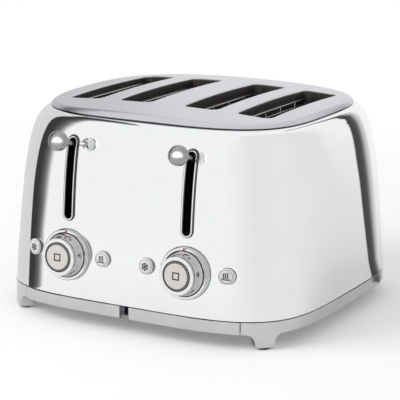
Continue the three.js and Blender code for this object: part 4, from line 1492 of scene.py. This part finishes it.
    def build(self) -> None:
        """Makes and dresses the pair's controls."""
        LeverSlot(self.middle, self.name).build()
        Lever(self.middle, self.name).build()
        self.dial_ring()
        self.knob()
        self.stop_button()
        self.button("defrost", -1)
        self.button("reheat", 1)


@dataclass
class Works:
    """What shows through the slots: guards, heaters, frames, and the rest of the CAD nodes."""

    wire: float = 0.8
    frame_top: float = mm(189.4)
    bars: int = 5
    ribbon: float = mm(1.6)
    ribbon_thick: float = mm(0.22)
    ribbon_gap: float = mm(0.3)
    board_half: float = mm(0.75)
    board_margin: float = mm(12)
    wraps: int = 11
    inlet_height: float = mm(20)

    def rod(self, name: str, length: float) -> Piece:
        """A straight wire with rounded ends, standing on its end.

        Args:
            name: the wire's name.
            length: its length, in millimetres.

        Returns:
            The new object.
        """
        r = self.wire
        return smoothed(turned(name, [(r * 0.4, 0), (r * 0.8, 0.2), (r, 0.6), (r, length - 0.6),
                                      (r * 0.8, length - 0.2), (r * 0.4, length)], 12))

    def guard(self, node: str, body: str) -> None:
        """A wire grille in the place of a CAD guard.

        Args:
            node: the CAD node that it replaces.
            body: the body that it rides on.
        """
        low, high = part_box(node)
        middle, r = (low[0] + high[0]) / 2, mm(self.wire)
        plate = TopPlate()
        slot, half = FORM.middle + plate.back, plate.slot_half[1] - plate.corner
        parts = []
        for i in range(self.bars + 1):
            y = low[1] + r + (high[1] - low[1] - 2 * r) * i / self.bars
            top = high[2] if abs(y - slot) < half - r else self.frame_top
            bar = self.rod("bar", (top - low[2]) * 1000)
            parts.append(placed(bar, Matrix.Translation((middle, y, low[2]))))
        lie_down = Matrix.Rotation(-math.pi / 2, 4, "X")
        for z, start, end in ((low[2] + r, low[1], high[1]), (self.frame_top - r, low[1], high[1]),
                              (high[2] - r, slot - half, slot + half)):
            rail = self.rod("rail", (end - start) * 1000)
            parts.append(placed(rail, Matrix.Translation((middle, start, z)) @ lie_down))
        dressed(joined(f"{node}_wires", parts), BRIGHT_WIRE, body, "bright_wire", node)

    def winding(self, node: str) -> None:
        """The heating ribbon wound round a mica board.

        Args:
            node: the CAD node of the board.
        """
        low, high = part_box(node)
        middle, off, gap = (low[0] + high[0]) / 2, self.board_half, self.ribbon_gap
        loop = [(-off, low[2] - gap), (off, low[2] - gap), (off, high[2] + gap), (-off, high[2] + gap)]
        section = [(0, -1), (0, 1), (self.ribbon_thick, 1), (self.ribbon_thick, -1)]
        loops = []
        for i in range(self.wraps):
            y = low[1] + self.board_margin + (high[1] - low[1] - 2 * self.board_margin) * i / (self.wraps - 1)

            def shape(side: int, row: int, y: float = y) -> Vector:
                """A corner of the ribbon at a corner of the board.

                Args:
                    side: the ribbon's corner.
                    row: the board's corner.
                    y: the wrap's place along the board.

                Returns:
                    The place.
                """
                x, z = loop[row]
                grow, hand = section[side]
                return Vector((middle + x + math.copysign(grow, x), y + hand * self.ribbon / 2,
                               z + math.copysign(grow, z - (low[2] + high[2]) / 2)))

            loops.append(lofted("wrap", 4, 4, shape, closed=True))
        dressed(joined(f"{node}_winding", loops), HEATING_RIBBON, "housing", "bright_wire")

    def inlet(self) -> None:
        """The bushing that the cord leaves by."""
        profile = [(3.5, -4.9), (4.4, -4.9), (4.4, 0.3), (5.8, 0.3), (5.8, 0.9), (5.15, 1.6), (3.9, 1.6),
                   (3.5, 1.2)]
        bushing = eased(turned("cord_bushing", profile, 48, ring=True), mm(0.12), 2)
        placed(bushing, Matrix.Translation((0, FORM.middle + FORM.base_half[1], self.inlet_height))
               @ Matrix.Rotation(-math.pi / 2, 4, "X"))
        dressed(bushing, BLACK_PLASTIC, "housing", "black_plastic", "cord_inlet")

    def build(self) -> None:
        """Dresses every CAD node and adds wires and windings."""
        for part in frame["record"]["subparts"]:
            node = frame["nodes"][part["node"]]
            node.data.materials.clear()
            node.data.materials.append(SLOT_FINISHES[part["material_slot"]].material())
        for side, _ in SIDES:
            for slot in ("outer", "inner"):
                for hand in ("far", "near"):
                    self.guard(f"{side}_{slot}_{hand}_guard", f"{side}_{hand}_guards")
            for place in ("far", "middle", "near"):
                self.winding(f"{side}_{place}_heater")
        self.inlet()


# Studio


@dataclass(frozen=True)
class Flag:
    """A card that only reflections see, as a photographer sets up beside a polished object.

    It lies along X or Y, may start on the floor beside the object, bends up at a wall and is cut to a curve.
    Each row gives its sharp edge and its far edge, as [along, up, along, up] on the wall and [x, y, x, y] on
    the floor.
    """

    name: str
    along_x: bool
    at: float
    foot: tuple[tuple[float, float, float, float], ...]
    rows: tuple[tuple[float, float, float, float], ...]
    tones: tuple[tuple[float, str], ...]
    cover: tuple[tuple[float, str], ...]
    over_floor: float = mm(0.4)

    def build(self) -> None:
        """Cuts the card to its rows and shades it from edge to edge."""
        clear_selection()
        rows = self.foot + self.rows
        last = len(rows) - 1
        bpy.ops.mesh.primitive_grid_add(x_subdivisions=1, y_subdivisions=last, size=2)
        card = named(self.name)
        for vertex in card.data.vertices:
            row = round((vertex.co.y + 1) / 2 * last)
            along, up = rows[row][:2] if vertex.co.x < 0 else rows[row][2:]
            if row < len(self.foot):
                vertex.co = (mm(along), mm(up), self.over_floor)
            else:
                vertex.co = (mm(along), self.at, mm(up)) if self.along_x else (self.at, mm(along), mm(up))
        material = bpy.data.materials.new(self.name)
        tree = fresh_tree(material)
        coords = add_node(tree, "TexCoord").outputs["UV"]
        across = add_node(tree, "SeparateXYZ", links={"Vector": coords}).outputs["X"]
        glow = add_node(tree, "Emission", links={"Color": ramp(tree, across, self.tones)})
        mixed(tree, ramp(tree, across, self.cover), add_node(tree, "BsdfTransparent"), glow, "OutputMaterial")
        card.data.materials.append(material)
        for ray in ("camera", "diffuse", "transmission", "volume_scatter", "shadow"):
            setattr(card, f"visible_{ray}", False)


@dataclass(frozen=True)
class Lamp:
    """A soft area lamp: where it hangs, what it faces, its size and its watts."""

    name: str
    place: Triple
    aim: Triple
    size: float
    watts: float

    def build(self) -> Piece:
        """Hangs the lamp and turns it to what it faces.

        Returns:
            The lamp.
        """
        clear_selection()
        bpy.ops.object.light_add(type="AREA", location=self.place)
        lamp = bpy.context.active_object
        lamp.name = self.name
        lamp.data.size, lamp.data.energy = self.size, self.watts
        lamp.rotation_euler = (Vector(self.place) - Vector(self.aim)).to_track_quat("Z", "Y").to_euler()
        return lamp


@dataclass
class Studio:
    """Pale floor, soft light, cards for the reflections and the camera at the photograph's angle."""

    eye: Triple = (0.8032, -1.4319, 0.4939)
    azimuth: float = 29.24
    elevation: float = 13.40
    roll: float = 0.27
    lens: float = 154.66
    sensor: float = 36.0
    shift_y: float = -0.0105
    clip_end: float = 60
    ambient: float = 0.60
    walls: tuple[tuple[float, str], ...] = (
        (0.0, "#F9F9F9"), (0.52, "#F9F9F9"), (0.57, "#F1F1F1"), (0.62, "#EAEAEA"), (0.74, "#EDEDED"),
        (0.9, "#E8E8E8"), (0.93, "#F8F8F8"), (1.0, "#F9F9F9"))
    paint: str = "#EDEDED"
    floor_size: float = 30
    floor_drop: float = mm(0.2)
    lift: float = 0.21
    mirror_lift: float = 0.09
    near: float = mm(80)
    far: float = mm(750)
    lamps: tuple[Lamp, ...] = (Lamp("broad_lamp", (-1.7, -1.7, 1.6), (0, 0, 0.1), 1.8, 46.0),
                               Lamp("fill_lamp", (1.8, -0.8, 1.6), (0, 0, 0.1), 1.4, 4.0))
    softbox: Lamp = Lamp("softbox_for_levers", (0.29, -1.42, 0.01), (0, -0.16, 0.17), 4.8, 118.0)
    flags: tuple[Flag, ...] = (
        Flag("left_flag", False, mm(-260), (),
             ((-168, 0.4, -258, 0.4), (-149, 62, -241, 64), (-136, 115, -242, 110), (-132, 160, -238, 160),
              (-128, 204, -246, 216), (-116, 243, -250, 274), (-93, 283, -238, 342), (-56, 334, -206, 392),
              (-16, 383, -190, 416), (61, 421, -106, 482), (76, 469, -72, 520), (81, 519, -56, 568),
              (68, 556, -64, 606), (40, 600, -50, 640)),
             ((0.0, "#3A3A3A"), (0.3, "#3C3C3C"), (0.42, "#484848"), (0.55, "#5C5C5C"), (0.66, "#747474"),
              (0.78, "#A2A2A2"), (0.9, "#D8D8D8")),
             ((0.0, "#000000"), (0.02, "#FFFFFF"), (0.86, "#FFFFFF"), (1.0, "#000000"))),
        Flag("left_wall", False, mm(-262), (),
             ((-170, 0.4, 420, 0.4), (-150, 243, 420, 243), (-60, 400, 420, 400), (60, 560, 420, 560)),
             ((0.0, "#DADADA"), (1.0, "#E6E6E6")), ((0.0, "#FFFFFF"), (0.7, "#FFFFFF"), (1.0, "#000000"))),
        Flag("rear_flag", True, mm(250), ((178, 130, 130, 140),),
             ((236, 0.4, 162, 0.4), (241, 33, 168, 33), (245, 61, 172, 61), (247, 89, 174, 89),
              (250, 115, 176, 120), (251, 149, 178, 150), (251, 180, 180, 180), (245, 223, 178, 205),
              (211, 281, 166, 243), (165, 316, 134, 296), (139, 354, 112, 345), (153, 434, 126, 440),
              (183, 589, 156, 596)),
             ((0.0, "#3E3E3E"), (0.34, "#545454"), (0.45, "#808080"), (0.58, "#B4B4B4"), (0.72, "#CCCCCC"),
              (0.9, "#E4E4E4")),
             ((0.0, "#000000"), (0.03, "#FFFFFF"), (0.9, "#FFFFFF"), (1.0, "#000000"))),
    )

    def camera(self) -> None:
        """The camera that took the photograph, as fitted to it."""
        az, el = math.radians(self.azimuth), math.radians(self.elevation)
        back = Vector((math.sin(az) * math.cos(el), -math.cos(az) * math.cos(el), math.sin(el)))
        right = Vector((math.cos(az), math.sin(az), 0))
        turn = Matrix((right, back.cross(right), back)).transposed().to_4x4()
        clear_selection()
        bpy.ops.object.camera_add()
        camera = bpy.context.active_object
        camera.matrix_world = (Matrix.Translation(self.eye) @ turn
                               @ Matrix.Rotation(math.radians(self.roll), 4, "Z"))
        camera.data.sensor_width, camera.data.lens = self.sensor, self.lens
        camera.data.shift_y, camera.data.clip_end = self.shift_y, self.clip_end
        bpy.context.scene.camera = camera
        bpy.context.scene.view_settings.view_transform = "Standard"

    def seen_share(self, tree: Tree) -> Socket:
        """Tells the rays that show the background: in the camera, in polish and through glass.

        Args:
            tree: the node tree.

        Returns:
            1 for those rays and 0 for others.
        """
        rays = add_node(tree, "LightPath").outputs
        first = combined(tree, "Math", "MAXIMUM", rays["Is Camera Ray"], rays["Is Glossy Ray"])
        return combined(tree, "Math", "MAXIMUM", first, rays["Is Transmission Ray"])

    def wall_level(self, tree: Tree, way: Socket) -> Socket:
        """Brightness of the surround: white in the camera, a wall's own tone in the polish.

        Args:
            tree: the node tree.
            way: the direction out from the object.

        Returns:
            The brightness.
        """
        split = add_node(tree, "SeparateXYZ", links={"Vector": way}).outputs
        ahead = combined(tree, "Math", "MULTIPLY", split["Y"], -1.0)
        turn = combined(tree, "Math", "ARCTAN2", split["X"], ahead)
        share = add_node(tree, "MapRange", {"From Min": -math.pi, "From Max": math.pi}, {"Value": turn})
        return combined(tree, "Math", "MAXIMUM", add_node(tree, "LightPath").outputs["Is Camera Ray"],
                        ramp(tree, share.outputs[0], self.walls))

    def world(self) -> None:
        """A white surround that lights the object softly, its walls a shade darker in the polish."""
        world = bpy.context.scene.world = bpy.data.worlds.new("white_surround")
        tree = fresh_tree(world)
        lit = add_node(tree, "Background", {"Color": WHITE, "Strength": self.ambient})
        level = self.wall_level(tree, add_node(tree, "TexCoord").outputs["Generated"])
        shown = add_node(tree, "Background", {"Color": WHITE}, {"Strength": level})
        mixed(tree, self.seen_share(tree), lit, shown, "OutputWorld")

    def floor(self) -> None:
        """A pale floor that runs out to white and keeps the object's shadow."""
        clear_selection()
        bpy.ops.mesh.primitive_plane_add(size=self.floor_size, location=(0, 0, -self.floor_drop))
        floor = named("studio_floor")
        material = bpy.data.materials.new("matt_white_floor")
        tree = fresh_tree(material)
        paint = add_node(tree, "BsdfDiffuse", {"Color": linear(self.paint)})
        coords = add_node(tree, "TexCoord").outputs["Object"]
        place = combined(tree, "VectorMath", "ABSOLUTE", coords)
        beyond = combined(tree, "VectorMath", "SUBTRACT", place, (*FORM.base_half, 0))
        clear = combined(tree, "VectorMath", "MAXIMUM", beyond, (0, 0, 0))
        away = combined(tree, "VectorMath", "LENGTH", clear)
        share = add_node(tree, "MapRange", {"From Min": self.near, "From Max": self.far},
                         {"Value": away}).outputs[0]
        lift = add_node(tree, "MapRange", {"To Min": self.mirror_lift, "To Max": self.lift},
                        {"Value": add_node(tree, "LightPath").outputs["Is Camera Ray"]})
        glow = add_node(tree, "Emission", {"Color": WHITE}, {"Strength": lift.outputs[0]})
        lifted = add_node(tree, "AddShader", links={"0": paint.outputs[0], "1": glow.outputs[0]})
        wall = add_node(tree, "Emission", {"Color": WHITE}, {"Strength": self.wall_level(tree, coords)})
        run = add_node(tree, "MixShader", links={"0": share, "1": lifted.outputs[0], "2": wall.outputs[0]})
        mixed(tree, self.seen_share(tree), paint, run, "OutputMaterial")
        floor.data.materials.append(material)

    def light(self, levers: Sequence[Piece]) -> None:
        """A broad soft lamp over the left shoulder, a weaker one on the right, and a softbox on the levers.

        Args:
            levers: the lever balls, which alone show the softbox.
        """
        for lamp in self.lamps:
            lamp.build().visible_glossy = False
        box = self.softbox.build()
        box.data.shape = "DISK"
        box.visible_diffuse = box.visible_camera = False
        lit = bpy.data.collections.new("lit_by_softbox")
        for piece in levers:
            lit.objects.link(piece)
        box.light_linking.receiver_collection = box.light_linking.blocker_collection = lit

    def build(self) -> None:
        """Sets up camera, light and floor round the finished object."""
        self.camera()
        self.world()
        self.floor()
        self.light([piece for piece in bpy.data.objects if piece.name.endswith("_lever_knob")])
        for flag in self.flags:
            flag.build()


def main() -> None:
    """Builds the scene in order."""
    logging.basicConfig(level=logging.INFO, format="%(name)s %(message)s")
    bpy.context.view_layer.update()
    Works().build()
    Skin().build()
    TopPlate().build()
    Base().build()
    for name, sign in SIDES:
        Pair(name, sign).build()
    Studio().build()


if __name__ == "__main__":
    main()
